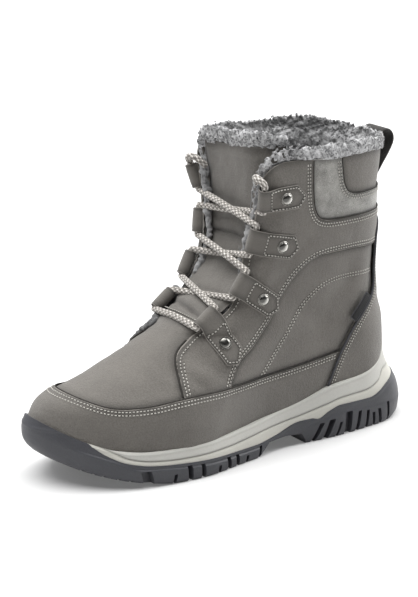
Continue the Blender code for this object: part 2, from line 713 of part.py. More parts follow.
# Small pieces ---------------------------------------------------------------------------------
def build_label(boot):
    cloth = material("black woven label", (0.02, 0.02, 0.02), 0.7)
    tilt = math.radians(LABEL["tilt"])
    lift = OVERLAY_LIFT + OVERLAY_THICK + 2 * GAP
    rows = []
    for u in np.linspace(-0.5, 0.5, 4) * LABEL["length"]:
        row = []
        for v in (-LABEL["width"] / 2, LABEL["width"] / 2):
            along = LABEL["along"] - u * math.cos(tilt) + v * math.sin(tilt)
            height = LABEL["height"] + u * math.sin(tilt) + v * math.cos(tilt)
            row.append(skin_point(1, along, height, lift)[0])
        rows.append(row)
    label = sheet("side_label", rows, boot, cloth, flip=True)
    solidify(label, LABEL["thick"], 1)


def build_pull_loop(boot):
    leather = material("pull loop leather", (0.05, 0.048, 0.045), 0.6)
    line = through_points([(0, along, height) for along, height in PULL_LOOP], PULL_STEP)
    rows = [[(x, spot[1], spot[2]) for x in (-PULL_WIDTH / 2, PULL_WIDTH / 2)] for spot in line]
    loop = sheet("pull_loop", rows, boot, leather)
    solidify(loop, PULL_THICK, 0)


def main():
    clear_scene()
    boot = collection("ankle_boot")
    cutters = collection("cutters")
    build_sole(boot, cutters)
    build_insole(boot)
    build_upper(boot, cutters)
    build_tongue(boot)
    build_overlays(boot, cutters)
    build_lacing(boot)
    build_label(boot)
    build_pull_loop(boot)


main()
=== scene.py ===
"""Looks of an ankle boot for the left foot: nubuck panels, fleece, lace, straps and a treaded sole.

Laid out as a Blender add-on and run as a script. Tables are in millimetres: "along" runs forward from
the back of the heel, "height" runs up from the floor, and x grows to the outer side of the foot.
"""
import math

import bmesh
import bpy
import numpy as np
from bpy.props import FloatProperty, FloatVectorProperty, IntProperty, PointerProperty
from mathutils import Matrix, Vector, noise


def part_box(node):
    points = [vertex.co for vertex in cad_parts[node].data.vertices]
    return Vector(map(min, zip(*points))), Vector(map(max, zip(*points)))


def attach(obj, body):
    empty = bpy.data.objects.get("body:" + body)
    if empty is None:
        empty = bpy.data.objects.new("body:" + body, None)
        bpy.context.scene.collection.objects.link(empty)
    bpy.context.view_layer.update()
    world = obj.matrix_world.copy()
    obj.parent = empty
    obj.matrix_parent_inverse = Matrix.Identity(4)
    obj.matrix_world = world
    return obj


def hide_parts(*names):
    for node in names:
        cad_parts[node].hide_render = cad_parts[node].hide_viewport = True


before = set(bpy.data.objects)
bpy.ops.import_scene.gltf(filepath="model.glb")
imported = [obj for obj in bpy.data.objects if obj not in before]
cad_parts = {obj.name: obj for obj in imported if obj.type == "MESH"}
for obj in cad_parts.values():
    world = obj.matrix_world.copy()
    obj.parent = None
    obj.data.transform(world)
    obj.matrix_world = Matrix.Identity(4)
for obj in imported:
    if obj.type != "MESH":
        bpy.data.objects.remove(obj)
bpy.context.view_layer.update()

bl_info = {
    "name": "Ankle boot",
    "version": (1, 0, 0),
    "blender": (4, 5, 0),
    "location": "3D View > Sidebar > Boot",
    "description": "Builds the visible pieces of a fleece-lined lace-up boot",
    "category": "Object",
}

MM = 0.001
BODY = "root"
HEEL_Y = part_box("outsole")[1].y / MM + 0.2      # the back of the heel, where along is 0

# Sole ---------------------------------------------------------------------------------------
LENGTH = 286.0
PLAN = {
    "along":  (0, 30, 70, 110, 150, 190, 225, 255, 285),
    "centre": (0, 0, 1, 2, 2.5, 1.5, -1.2, -4.5, -9),
    "half":   (32.5, 34.5, 37, 34.5, 40.5, 48, 47, 42.5, 36),
}
HEEL_ROUND = 34.0        # length of the rounded ends
TOE_ROUND = 75.0
WALL = {
    "level": (0, 0.08, 0.25, 0.4, 0.55, 0.7, 0.85, 1),
    "back":  (4, 1.2, 0.2, 2.2, 6.8, 11.2, 13.8, 14.6),
    "front": (280, 283, 285.5, 286, 286, 285.5, 284.5, 283.5),
    "inset": (2, 0.6, 0, 0, 0.2, 0.5, 1, 1.8),
}
UNDER = {"along": (0, 14, 205, 222, 240, 256, 270, 290), "height": (2.5, 0, 0, 2, 5.5, 10, 15.5, 26)}
RIM = {
    "along":  (0, 18, 30, 50, 70, 110, 150, 190, 225, 245, 262, 290),
    "height": (59, 56, 45, 39, 37.5, 28.5, 24, 22.6, 23.2, 26, 32.5, 49),
}
BED = {
    "along":  (0, 50, 70, 110, 150, 190, 225, 245, 262, 290),
    "height": (32.5, 32.5, 31, 22.5, 18, 16.6, 17.2, 20, 26, 41),
}
TREAD_LINE = {
    "along":  (-10, 14, 24, 33, 42, 69, 78, 88, 92, 101, 124, 140, 190, 226, 241, 249, 258, 266),
    "height": (33, 31, 28, 24, 21.5, 22.3, 20, 15.8, 17, 17, 11.6, 9.8, 11.8, 14.6, 18, 22, 29, 40),
}
# The fine groove along the pale midsole, and where the tread blocks step out from the band above.
FOAM_GROOVE = {
    "along":  (0, 25, 33, 47, 66, 82, 106, 132, 166, 199, 224, 238, 245, 262, 290),
    "height": (39, 37.5, 31, 27.5, 27.3, 24.5, 20.2, 17.8, 15.4, 15.6, 17.3, 20.3, 24, 34, 50),
}
BLOCK_TOP = {
    "along":  (0, 24, 46, 66, 80, 92, 100, 134, 140, 162, 177, 194, 211, 226, 231.5, 239, 249, 265, 272, 290),
    "height": (15, 15, 16, 17, 15.5, 13, 12, 8, 7.8, 8, 8.7, 9.8, 11.5, 12.8, 13.3, 16, 21, 27.3, 30, 30),
    "proud":  (0.4, 0.4, 0.4, 0.4, 0.4, 0.3, 0, 0, 1, 1, 1, 1, 1, 1, 1, 1, 1, 0.4, 0, 0),
}
ARCH = ((97, -9), (97, 2), (101, 8), (115, 9), (129, 8.5), (137, 1), (137, -9))
HEEL_SLOTS = {
    "foot":  (91.8, 81.9, 72.2, 62.6, 54, 45.1, 37.9, 31.6, 23.6),
    "head":  (84.5, 76, 68.7, 61.7, 51.7, 44.2, 39, 33.8, 25.2),
    "top":   (12.5, 13.5, 10.2, 16.2, 14.5, 13.3, 10.5, 12, 14.8),
    "width": (3.4, 4.8, 2, 5.6, 2.8, 2.4, 2, 2.3, 2),
}
BALL_SLOTS = {
    "foot":  (226, 210, 198, 188.4, 175.3, 166.2, 158.4, 150.4, 138.5),
    "head":  (229.6, 209, 198.8, 188.8, 175, 167, 159, 149.7, 137.2),
    "top":   (11.8, 6.7, 10.8, 9.9, 5.6, 9, 8.4, 5.5, 8.6),
    "width": (6.6, 1.9, 3.2, 2.8, 1.9, 2.8, 2.6, 1.8, 2.2),
}
SOLE_LEVELS = np.linspace(0, 1, 64)
SOLE_HALF = 170          # steps from heel to toe
GROOVES = (28, 42, 56, 70, 84, 155, 172, 195, 218, 231)
SLOT_DEPTH = 3.8         # how far the edge slots go in, and how much wider they are outside
SLOT_FLARE = 0.8
TOE_NOTCHES = (263.5, 257.5, 252.7, 244.5, 237.8)
# Rings of the fleece insole: inset, share of the way up to the rim, and rise above that.
INSOLE_RINGS = (
    (2.0, 0, 0.3), (2.0, 0.5, 0), (2.0, 1, 3.0), (6.4, 1, 3.0), (6.2, 0.5, 2), (6.2, 0, 5.2), (7.2, 0, 4.4),
    (9.0, 0, 4.2))

# Upper --------------------------------------------------------------------------------------
UPPER = {
    "height": (25, 38, 50, 62, 75, 83, 88, 92, 102, 112, 125, 140, 170, 205),
    "back":   (17, 17.5, 18, 19, 20.5, 21.5, 22, 22, 23, 24, 24, 23.5, 24, 20.5),
    "front":  (280, 275.5, 267, 248, 218, 200, 188, 184, 175, 164.5, 155.5, 149.5, 146.5, 146),
    "heel":   (31, 31.5, 32, 32.5, 32, 32, 32, 32, 32, 32.5, 34, 36, 41, 44),
    "waist":  (31.5, 32.5, 33.5, 34, 34, 34.5, 34.5, 34.5, 35, 36, 38, 40, 44, 47.5),
    "ball":   (44, 45.5, 45, 42, 39, 37.5, 37, 37, 37, 37.5, 39, 41, 44.5, 47.5),
    "toe":    (39.5, 40, 40, 35, 32.5, 32, 32.5, 33, 34, 36, 38.5, 40.5, 44.5, 47),
    "tail":   (31, 31, 32, 33, 34, 34, 34, 34, 34, 34, 35, 36, 38, 40),
    "nose":   (74, 72, 68, 66, 60, 52, 42, 30, 23, 22, 20, 19, 17, 16),
}
STATIONS = (0, 0.2, 0.42, 0.68, 0.9, 1)
FIRST = 25.0             # the lowest and the highest section
TOP = 205.0
BENDS_OVER = 60.0        # the foot's bend in plan fades out over this height
LEVEL_OUT = 105.0        # from here up the sections are level, and no longer follow the rim
SHAFT_FROM = 160.0       # from here up they follow the collar
ROUNDNESS = 2.2          # 2 is an ellipse; more is squarer
COLLAR = {"along": (20, 70, 110, 145), "height": (203, 206, 208.5, 210)}
SKIN_LEVELS = 110        # rings up the upper, and steps from heel to toe
SKIN_HALF = 136

# Edges of the leather panels in the side view, front or bottom end first.
LEATHER_EDGE = (
    (240, 116), (200, 104.5), (191, 100), (185, 96.6), (180.5, 94.6), (176, 93.6), (171, 94.2), (165, 98),
    (155, 107), (150, 118), (145.5, 130), (142.5, 144), (140, 156), (138.5, 168), (137.5, 182), (136.5, 191),
    (133, 197.5), (126, 200.5), (112, 200.3), (93, 198.6), (72, 197.8), (45, 197), (28, 194), (8, 190),
)
QUARTER_EDGE = (
    (176, 20), (170, 38), (163, 54.5), (154.5, 69), (142, 78), (128.6, 92), (119, 107), (108, 121),
    (96, 129.5), (84, 132), (60, 131.5), (38, 129.5), (8, 128),
)
VAMP_EDGE = (
    (203, 20), (200, 40), (198.4, 55), (197, 65.3), (193.8, 75.5), (189.3, 80.7), (183, 84.3), (177.5, 88),
    (171, 94), (163, 103), (157, 114), (156, 240),
)
SUEDE_EDGE = (
    (101, 230), (100.3, 196), (99.3, 178), (97.5, 166.5), (93, 159), (85, 156), (62, 155), (38, 154.3),
    (8, 153),
)
PATCH_EDGE = (
    (80, 230), (77.6, 200), (75.5, 188), (73.5, 179), (70, 173.5), (63, 170.6), (48, 169.8), (34, 169.3),
    (8, 168.5),
)
TRIM_LINE = (
    (146, 30), (133.5, 54.5), (124, 66.5), (114, 79), (105, 91), (95, 101.5), (86, 108.5), (76, 111.5),
    (60, 111.5), (37, 110.5), (8, 109.5),
)
MUDGUARD_EDGE = (
    (300, 66), (275, 62), (264, 59.3), (255, 55.6), (246, 52.6), (236, 51.4), (221, 51.6), (205, 53.2),
    (190, 54.2), (164, 54.2), (140, 54), (117, 54.6), (95, 56.2), (71, 58.6), (50, 60), (20, 62),
)
COUNTER_EDGE = (
    (92, 0), (84, 20), (77.4, 36.3), (72.5, 47.5), (67, 58.5), (61, 68), (54, 77), (45, 86), (38.5, 94),
    (35.5, 103), (34.5, 113), (34, 124), (32.5, 134), (29, 142), (22, 148), (8, 152),
)
PANEL_EDGES = (LEATHER_EDGE, VAMP_EDGE, QUARTER_EDGE, SUEDE_EDGE, PATCH_EDGE, MUDGUARD_EDGE, COUNTER_EDGE)
# How far each panel's face stands off the lasted shape.
LIFTS = {"base": 0.0, "suede": 0.7, "facing": 1.5, "mudguard": 1.4, "counter": 2.4}
# The throat's edges are pulled in under the strap loops: how far at each height, and which way.
TUCK = {
    "height": (86, 92, 98, 104, 120, 130, 150, 170, 185, 200),
    "depth":  (0, 1.5, 4, 6, 7.5, 8.5, 9, 8, 6.5, 5),
}
TUCK_RUN = (0.80, 0.52, 0.29)
TUCK_REACH = 18.0        # the pull fades out this far from the edge
GUARD_RISE = 0.9         # the mudguard climbs by this where it lies on the facing
LEATHER = 1.4            # thickness of every panel
PILLOW = 0.55            # the leather stands this much fuller away from its seams
PILLOW_RUN = 5.0         # distance over which it fills out
# Soft creases and hollows: from and to (along, height), reach to each side, and depth.
CREASES = (
    ((197, 70), (182, 58), 3.0, 0.9), ((190, 82), (172, 66), 3.4, 0.8), ((178, 80), (166, 62), 3.0, 0.7),
    ((214, 66), (203, 58), 4.0, 0.5), ((206, 76), (199, 62), 3.2, 0.6), ((110, 104), (84, 84), 10.0, 1.5),
    ((92, 122), (60, 118), 8.0, 0.8), ((120, 132), (102, 142), 5.0, 0.9), ((126, 118), (112, 128), 4.0, 0.7),
    ((74, 98), (58, 108), 7.0, 1.0), ((150, 92), (138, 104), 4.0, 0.7), ((60, 140), (36, 138), 5.0, 0.6),
)

# Fleece -------------------------------------------------------------------------------------
FLEECE_FOOT = 5.0        # thickness of the fleece in the foot, and at the collar
FLEECE_COLLAR = 8.5
FLAP_PILE = ((158, 104), (163, 98.5), (169, 94.5), (176, 91), (183, 86.5), (188, 81), (192, 74), (195, 67))
FLEECE_ROLL = 9.5        # thickness of the fleece behind the tongue

# Tongue -------------------------------------------------------------------------------------
TONGUE = {
    "row":    (0, 1, 2, 3, 4, 5, 6, 7, 8, 9, 10, 11, 12),
    "along":  (192, 185.5, 178, 169.5, 160.5, 151, 143, 136, 131, 128.8, 129, 130.5, 132),
    "height": (76, 86.5, 93, 97.6, 103, 110.5, 119.6, 133, 147, 162, 180, 192, 204),
    "half":   (9, 14, 19, 22.8, 25.5, 28.5, 31, 32, 32.5, 33.5, 35, 36, 36),
    "crown":  (2.5, 2, 1.5, 1, 0.5, 0, -0.5, -1, -1, -0.5, 0, 0, 0),
    "tilt":   (0, 0, 0, 0, 0, 0, 0, 0, 0, 0.02, 0.05, 0.07, 0.08),
    "wrap":   (0, 0, 0, 0, 0, 0, 0, 0, 1, 4, 10, 16, 19),
}
TONGUE_TOP = 12.0        # its last row
TONGUE_SEAM_ROW = 7.8
TONGUE_LEATHER = 2.2     # thickness of its padded face
TONGUE_FOLDS = (         # row, sway across the tongue, depth and reach
    (4.7, 0.25, 1.3, 0.22), (3.15, -0.3, 3.0, 0.22), (6.3, 0.2, 0.7, 0.3), (2.6, 0.2, 0.8, 0.2))
TONGUE_SWELLS = ((4.6, 1.6, 1.2), (3.8, 0.4, 1.4))       # row, reach and rise

# Lacing -------------------------------------------------------------------------------------
LOOPS = {
    "x_low":      (26, 31, 31, 38.5),
    "along_low":  (176.5, 152, 139, 133),
    "height_low": (94.3, 112, 139, 168),
    "x_top":      (26, 33, 34, 44),
    "along_top":  (163.5, 143, 135.5, 136),
    "height_top": (104, 127, 156.5, 185),
    "rivet_along":  (162, 134, 122, 121),
    "rivet_height": (82.5, 109, 144, 176.5),
}
# Each strap loop's place in LOOPS, its side (1 is outer, -1 inner) and its name.
STRAPS = [(i, side, f"{word}_{i + 1}") for side, word in ((1, "outer"), (-1, "inner")) for i in range(4)]
STRAP_THICK = 1.5
STRAP_LIFT = 1.7         # height of a strap's back over the upper
STRAP_WIDTH = 16.4
STRAP_TIP = 16.5         # from the rivet to the point
STRAP_POINT = 6.6        # length of the pointed part
STRAP_LEAVES = 0.4       # the strap comes down on the upper within this part of its length
LOOP_RADIUS = 3.9
LOOP_TURN = 238.0        # degrees the strap turns round the lace
LACE_TURN = 0.9          # the lace runs on straight by this past each end of a loop
CROSSING = 2.2           # how far a crossing stands in front of the line between two loops, or behind it
BAR_SAG = 2.0
# The lace's end past the top loop: (x, along, height) steps from the top of the hole.
LACE_END = ((0.3, 1.2, 2.6), (-2.8, 2.4, 5.0), (-7, 2.0, 5.6), (-11, -0.8, 3.2), (-13, -4.5, -1.0))

# Small pieces -------------------------------------------------------------------------------
LABEL = {"along": 50.6, "height": 88, "length": 20.5, "width": 6.2, "thick": 1.1, "lift": 3.2, "tilt": 48}
PULL_LOOP = (
    (22.4, 154), (22, 166), (16, 176), (9, 186), (5.5, 193), (6.5, 198.5), (11, 201.5), (16, 200), (19, 194),
)
PULL_WIDTH = 20.0
PULL_THICK = 1.8
# Stitches: their spacing, and their rise and width from end to end.
PITCH = 2.3
COUNTER_PITCH = 1.9
STRAP_PITCH = 2.0
ROW_INSET = 1.6          # from a strap's edge to its row of stitches
CROSS_ROW = 10.5         # from the rivet back to the row across the strap
STITCH_RISES = (-0.32, 0.16, 0.26, 0.16, -0.32)
STITCH_WIDTHS = (0.6, 1.0, 1.0, 1.0, 0.6)
HOLE_ALONG = 0.36        # half sizes of a needle hole, along its row and across it
HOLE_ACROSS = 0.42


# Curves and surfaces --------------------------------------------------------------------------
def column(table, name, at, key="along"):
    """Read a named column of a table along a curve that never overshoots its points."""
    xs = np.asarray(table[key], float)
    ys = np.asarray(table[name], float)
    step = np.diff(xs)
    rise = np.diff(ys) / step
    slope = np.concatenate([rise[:1], np.zeros(len(xs) - 2), rise[-1:]])
    for i in range(1, len(xs) - 1):
        if rise[i - 1] * rise[i] > 0:
            before = 2 * step[i] + step[i - 1]
            after = step[i] + 2 * step[i - 1]
            slope[i] = (before + after) / (before / rise[i - 1] + after / rise[i])
    at = np.clip(np.asarray(at, float), xs[0], xs[-1])
    i = np.clip(np.searchsorted(xs, at) - 1, 0, len(xs) - 2)
    u = (at - xs[i]) / step[i]
    bend = slope[i] * step[i] * u * (1 - u) ** 2 - slope[i + 1] * step[i] * u ** 2 * (1 - u)
    return ys[i] + (ys[i + 1] - ys[i]) * u * u * (3 - 2 * u) + bend


def ease(x):
    """A soft step from 0 to 1 while x runs from 0 to 1."""
    x = np.clip(x, 0, 1)
    return x * x * (3 - 2 * x)


def least(*fields):
    """The smallest of several fields at each point: where all of them are positive, so is this."""
    return np.minimum.reduce(fields)


def cap(distance, length):
    """Width factor of a rounded end: 0 at its tip, 1 from "length" inwards."""
    k = np.clip(1 - np.asarray(distance, float) / length, 0, 1)
    return (1 - k ** ROUNDNESS) ** (1 / ROUNDNESS)


def place(points):
    """Millimetres (x, along, height) to metres in the boot's frame."""
    points = np.asarray(points, float)
    return np.stack([points[..., 0], HEEL_Y - points[..., 1], points[..., 2]], -1) * MM


def unit(vectors):
    """Vectors made one long."""
    return vectors / np.maximum(np.linalg.norm(vectors, axis=-1, keepdims=True), 1e-12)


def run_along(line):
    """Distance of each point of a line from its start, along the line."""
    return np.concatenate([[0], np.cumsum(np.linalg.norm(np.diff(line, axis=0), axis=1))])


def circles(first, second, sides):
    """Circles of unit radius, with "sides" points each, in the planes of pairs of directions."""
    turn = (np.arange(sides) / sides * 2 * math.pi)[:, None]
    return first[..., None, :] * np.cos(turn) + second[..., None, :] * np.sin(turn)


def stations(half_points):
    """Places from 0 to 1, close together at both ends."""
    return (1 - np.cos(np.linspace(0, math.pi, half_points + 1))) / 2


def both_sides(centre, half, along, height):
    """A closed ring, from the heel along the outer side to the toe and back on the inner side."""
    height = np.broadcast_to(height, along.shape)
    outer = np.stack([centre + half, along, height], -1)
    inner = np.stack([centre - half, along, height], -1)
    return np.concatenate([outer, inner[-2:0:-1]])


def curve_through(points, step):
    """A smooth curve through points, in any number of dimensions, with a point about every step."""
    points = [np.asarray(p, float) for p in points]
    ends = [2 * points[0] - points[1], *points, 2 * points[-1] - points[-2]]
    heading = [unit(c - a) for a, c in zip(ends, ends[2:])]
    line = []
    for start, end, leave, arrive in zip(points, points[1:], heading, heading[1:]):
        length = np.linalg.norm(end - start)
        count = max(1, round(length / step))
        for t in np.arange(count) / count:
            line.append(start * (1 + 2 * t) * (1 - t) ** 2 + end * t * t * (3 - 2 * t)
                        + (leave * t * (1 - t) ** 2 - arrive * t * t * (1 - t)) * length)
    return np.array([*line, points[-1]])


def beside(points, line):
    """Distance of side-view points from a line, positive on the left of its direction."""
    best = np.full(points.shape[:-1], np.inf)
    signed = np.zeros_like(best)
    for start, end in zip(line, line[1:]):
        run = end - start
        length = np.linalg.norm(run)
        off = points - start
        part = np.clip((off @ run) / length ** 2, 0, 1)
        gap = np.linalg.norm(off - part[..., None] * run, axis=-1)
        across = (run[0] * off[..., 1] - run[1] * off[..., 0]) / length
        tie = (np.abs(gap - best) < 1e-6) & (np.abs(across) > np.abs(signed))
        near = (gap < best - 1e-6) | tie
        signed = np.where(near, across, signed)
        best = np.where(gap < best, gap, best)
    return np.where(signed < 0, -best, best)


def section(height):
    """Every measure of the upper's table at one height."""
    return {name: float(column(UPPER, name, height, "height")) for name in UPPER if name != "height"}


def section_half(sec, along):
    """Half widths of a section at places along it."""
    part = (along - sec["back"]) / (sec["front"] - sec["back"])
    widths = (sec["heel"] * 0.97, sec["heel"], sec["waist"], sec["ball"], sec["toe"], sec["toe"] * 0.93)
    half = column({"t": STATIONS, "half": widths}, "half", part, "t")
    return half * cap(along - sec["back"], sec["tail"]) * cap(sec["front"] - along, sec["nose"])


def section_centre(height, along):
    """Middle line of a section: it follows the sole below and is straight above."""
    return column(PLAN, "centre", along) * (1 - ease((height - FIRST) / BENDS_OVER))


def section_height(height, along):
    """Real height of a section: it follows the rim below, is level, then follows the collar."""
    low = (column(RIM, "height", along) - FIRST) * (1 - ease((height - FIRST) / (LEVEL_OUT - FIRST)))
    high = (column(COLLAR, "height", along) - TOP) * max(0.0, height - SHAFT_FROM) / (TOP - SHAFT_FROM)
    return height + low + high


def upper_ring(height, half_points):
    """A closed ring of points round the upper at a height."""
    sec = section(height)
    along = sec["back"] + stations(half_points) * (sec["front"] - sec["back"])
    half = section_half(sec, along)
    return both_sides(section_centre(height, along), half, along, section_height(height, along))


def sole_point_rows(level, along_part):
    """Sole wall at a level for each station: level may differ from station to station."""
    back, front, inset = (column(WALL, name, level, "level") for name in ("back", "front", "inset"))
    along = back + along_part * (front - back)
    half = column(PLAN, "half", along) - inset
    half = half * cap(along - back, HEEL_ROUND) * cap(front - along, TOE_ROUND)
    under = column(UNDER, "height", along)
    return along, half, under + level * (column(RIM, "height", along) - under)


def widened(ring, amount):
    """Move a ring's points outwards in plan."""
    ahead = np.roll(ring, -1, 0) - np.roll(ring, 1, 0)
    normal = unit(np.stack([-ahead[:, 1], ahead[:, 0]], -1))
    moved = ring.copy()
    moved[:, :2] -= normal * np.reshape(amount, (-1, 1))
    return moved


def grid_normals(points, closed=True):
    """Outward unit normals of a grid of rings."""
    ahead = np.roll(points, -1, 1) - np.roll(points, 1, 1) if closed else np.gradient(points, axis=1)
    return unit(np.cross(ahead, np.gradient(points, axis=0)))


def bumps(points, scale, seed=0.0):
    """Smooth noise, from -1 to 1, whose lumps are about "scale" millimetres across."""
    shift = Vector((seed * 7.1, seed * 3.3, seed * 5.7))
    flat = points.reshape(-1, 3) / scale
    found = [noise.noise(Vector(p) + shift) for p in flat]
    return np.array(found).reshape(points.shape[:-1]) * 1.6


def tucked(points, edge):
    """Points of the upper with the throat's edges pulled in; edge is their distance from the edge."""
    depth = column(TUCK, "depth", points[..., 2], "height")
    depth = depth * (1 - ease(edge / TUCK_REACH)) * ease((points[..., 1] - 106) / 24)
    side = np.clip(points[..., 0] / 15, -1, 1)
    run = np.stack([side * TUCK_RUN[0], np.full_like(side, TUCK_RUN[1]), np.full_like(side, TUCK_RUN[2])], -1)
    return points - depth[..., None] * run


class Skin:
    """The lasted outside of the upper, as a grid of points with normals and side-view distances."""

    def __init__(self):
        levels = np.linspace(FIRST, TOP + 3, SKIN_LEVELS)
        self.points = np.array([upper_ring(level, SKIN_HALF) for level in levels])
        self.side_view = self.points[..., 1:]
        normals = grid_normals(self.points)
        relief = 0.22 * bumps(self.points, 17.0)
        for start, end, reach, depth in CREASES:
            gap = np.abs(beside(self.side_view, np.array([start, end], float)))
            relief -= depth * np.exp(-(gap / reach) ** 2)
        self.fields = {}
        self.points = tucked(self.points + normals * relief[..., None], self.from_edge(LEATHER_EDGE))
        self.normals = grid_normals(self.points)

    def from_edge(self, edge):
        """Distance from an edge line over the whole skin, positive on the left of its direction."""
        if edge not in self.fields:
            self.fields[edge] = beside(self.side_view, curve_through(edge, 3.0))
        return self.fields[edge]

    def lifted(self, lift):
        """The skin moved outwards by a lift for each point, or by one lift."""
        return self.points + self.normals * np.broadcast_to(lift, self.points.shape[:2])[..., None]


def distances(*edges):
    """Distance of the whole skin from each edge line."""
    return [SKIN.from_edge(edge) for edge in edges]


class SideMap:
    """Half widths of the upper over its side view, to find points on its sides quickly."""

    STEP = 1.0

    def __init__(self):
        self.alongs = np.arange(22.0, 282.0, self.STEP)
        self.heights = np.arange(30.0, 212.0, self.STEP)
        rows = []
        for level in np.linspace(FIRST, TOP + 3, 180):
            half = section_half(section(level), self.alongs)
            centre = section_centre(level, self.alongs)
            rows.append(np.stack([section_height(level, self.alongs), half, centre], -1))
        rows = np.array(rows)
        spots = np.stack(np.meshgrid(self.alongs, self.heights, indexing="ij"), -1)
        self.tables = np.zeros((3, len(self.alongs), len(self.heights)))
        self.tables[2] = beside(spots, curve_through(LEATHER_EDGE, 3.0))
        for i in range(len(self.alongs)):
            for k in range(2):
                self.tables[k, i] = np.interp(self.heights, rows[:, i, 0], rows[:, i, k + 1])

    def read(self, table, along, height):
        """Values of one of the three tables between its grid points."""
        u = np.clip((along - self.alongs[0]) / self.STEP, 0, len(self.alongs) - 1.001)
        v = np.clip((height - self.heights[0]) / self.STEP, 0, len(self.heights) - 1.001)
        i, j = u.astype(int), v.astype(int)
        u, v = u - i, v - j
        grid = self.tables[table]
        low = grid[i, j] * (1 - v) + grid[i, j + 1] * v
        high = grid[i + 1, j] * (1 - v) + grid[i + 1, j + 1] * v
        return low * (1 - u) + high * u

    def spot(self, side, along, height, lift=0.0):
        """Points on the side, lifted along the normal, and the normals; side is 1 or -1."""
        along = np.asarray(along, float)
        height = np.asarray(height, float)

        def at(s, h):
            flat = np.stack([self.read(1, s, h) + side * self.read(0, s, h), s, h], -1)
            return tucked(flat, self.read(2, s, h))

        reach = 1.0
        normal = unit(np.cross(at(along + reach, height) - at(along - reach, height),
                               at(along, height + reach) - at(along, height - reach)) * side)
        return at(along, height) + normal * lift, normal


SKIN = Skin()
SIDES = SideMap()


# Meshes ---------------------------------------------------------------------------------------
def add_values(mesh, key, numbers):
    """Give each point of a mesh a number that its finish reads."""
    layer = mesh.attributes.new(key, "FLOAT", "POINT")
    layer.data.foreach_set("value", np.asarray(numbers, np.float32))


def new_object(name, vertices, faces, look, **values):
    """A smooth mesh object in metres from millimetre points; values are numbers for its points."""
    mesh = bpy.data.meshes.new(name)
    mesh.from_pydata(place(vertices).tolist(), [], [tuple(int(i) for i in f) for f in faces])
    mesh.materials.append(look)
    for key, numbers in values.items():
        add_values(mesh, key, numbers)
    mesh.shade_smooth()
    made = bpy.data.objects.new(name, mesh)
    bpy.context.scene.collection.objects.link(made)
    return made


def settle(made, slot, *replaced):
    """Attach a finished piece to the boot and hide the nodes that it stands for; slot is not used."""
    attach(made, BODY)
    if replaced:
        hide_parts(*replaced)


def grid_quads(rows, cols, closed):
    """Corners of the quads of a grid; a closed grid's last column joins its first."""
    index = np.arange(rows * cols).reshape(rows, cols)
    near = index if closed else index[:, :-1]
    far = np.roll(index, -1, 1) if closed else index[:, 1:]
    return np.stack([far[:-1], near[:-1], near[1:], far[1:]], -1).reshape(-1, 4)


def grid_object(name, points, look, seam=None, normals=None):
    """A sheet from a grid of points; seam is the distance from its seams, and normals say where it faces."""
    values = {} if seam is None else {"seam": np.broadcast_to(seam, points.shape[:2]).ravel()}
    made = new_object(name, points.reshape(-1, 3), grid_quads(*points.shape[:2], False), look, **values)
    if normals is not None:
        face_along(made, normals.reshape(-1, 3))
    return made


def short_tubes(name, path, ring, widths, look, **values):
    """Many short tubes, closed at both ends, in one mesh; ring is a unit circle round each point."""
    rings = path[:, :, None] + ring * widths[:, None, None]
    index = np.arange(rings[..., 0].size).reshape(rings.shape[:3])
    near, far = index[:, :-1], index[:, 1:]
    quads = np.stack([near, np.roll(near, -1, 2), np.roll(far, -1, 2), far], -1).reshape(-1, 4)
    ends = np.concatenate([index[:, 0, ::-1], index[:, -1]])
    return new_object(name, rings.reshape(-1, 3), [*quads, *ends], look, **values)


def crossings(quads, field):
    """Quads that a field's zero line runs through."""
    inside = field[quads] > 0
    return quads[inside.any(1) & ~inside.all(1)]


def at_zero(data, flat, low, high):
    """The row of data between two points of a grid where the field is zero."""
    part = flat[low] / (flat[low] - flat[high])
    return data[low] * (1 - part) + data[high] * part


def clipped(points, field, values, closed=True):
    """Part of a grid where the field is positive, cut on its zero line. Values ride along."""
    data = np.column_stack([points.reshape(-1, 3), values.reshape(-1, 1)])
    flat = field.ravel()
    quads = grid_quads(*field.shape, closed)
    faces = [list(q) for q in quads[(flat[quads] > 0).all(1)]]
    added, places = [], {}
    for quad in crossings(quads, flat):
        corners = []
        for here, there in zip(quad, np.roll(quad, -1)):
            if flat[here] > 0:
                corners.append(here)
            if (flat[here] > 0) != (flat[there] > 0):
                key = (min(here, there), max(here, there))
                if key not in places:
                    places[key] = len(data) + len(added)
                    added.append(at_zero(data, flat, *key))
                corners.append(places[key])
        if len(corners) > 2:
            faces.append(corners)
    data = np.vstack([data, added]) if added else data
    used = np.unique(np.concatenate([np.array(f) for f in faces]))
    renamed = np.full(len(data), -1)
    renamed[used] = np.arange(len(used))
    return data[used, :3], [[renamed[i] for i in f] for f in faces], data[used, 3]


def traced(points, normals, field, keep):
    """Lines on a closed grid where the field is zero and keep is positive, as (points, normals)."""
    data = np.column_stack([points.reshape(-1, 3), normals.reshape(-1, 3), keep.ravel()])
    flat = field.ravel()
    spots, links = {}, {}
    for quad in crossings(grid_quads(*field.shape, True), flat):
        ends = []
        for here, there in zip(quad, np.roll(quad, -1)):
            if (flat[here] > 0) != (flat[there] > 0):
                key = (min(here, there), max(here, there))
                spots[key] = at_zero(data, flat, *key)
                ends.append(key)
        for a, b in zip(ends[::2], ends[1::2]):
            if spots[a][6] > 0 and spots[b][6] > 0:
                links.setdefault(a, []).append(b)
                links.setdefault(b, []).append(a)
    lines, done = [], set()
    for start in sorted(links, key=lambda k: (len(links[k]), k)):
        chain, onward = [], [] if start in done else [start]
        while onward:
            chain.append(onward[0])
            done.add(onward[0])
            onward = [k for k in links[chain[-1]] if k not in done]
        if len(chain) > 2:
            line = np.array([spots[k] for k in chain])
            lines.append((line[:, :3], unit(line[:, 3:6])))
    return lines


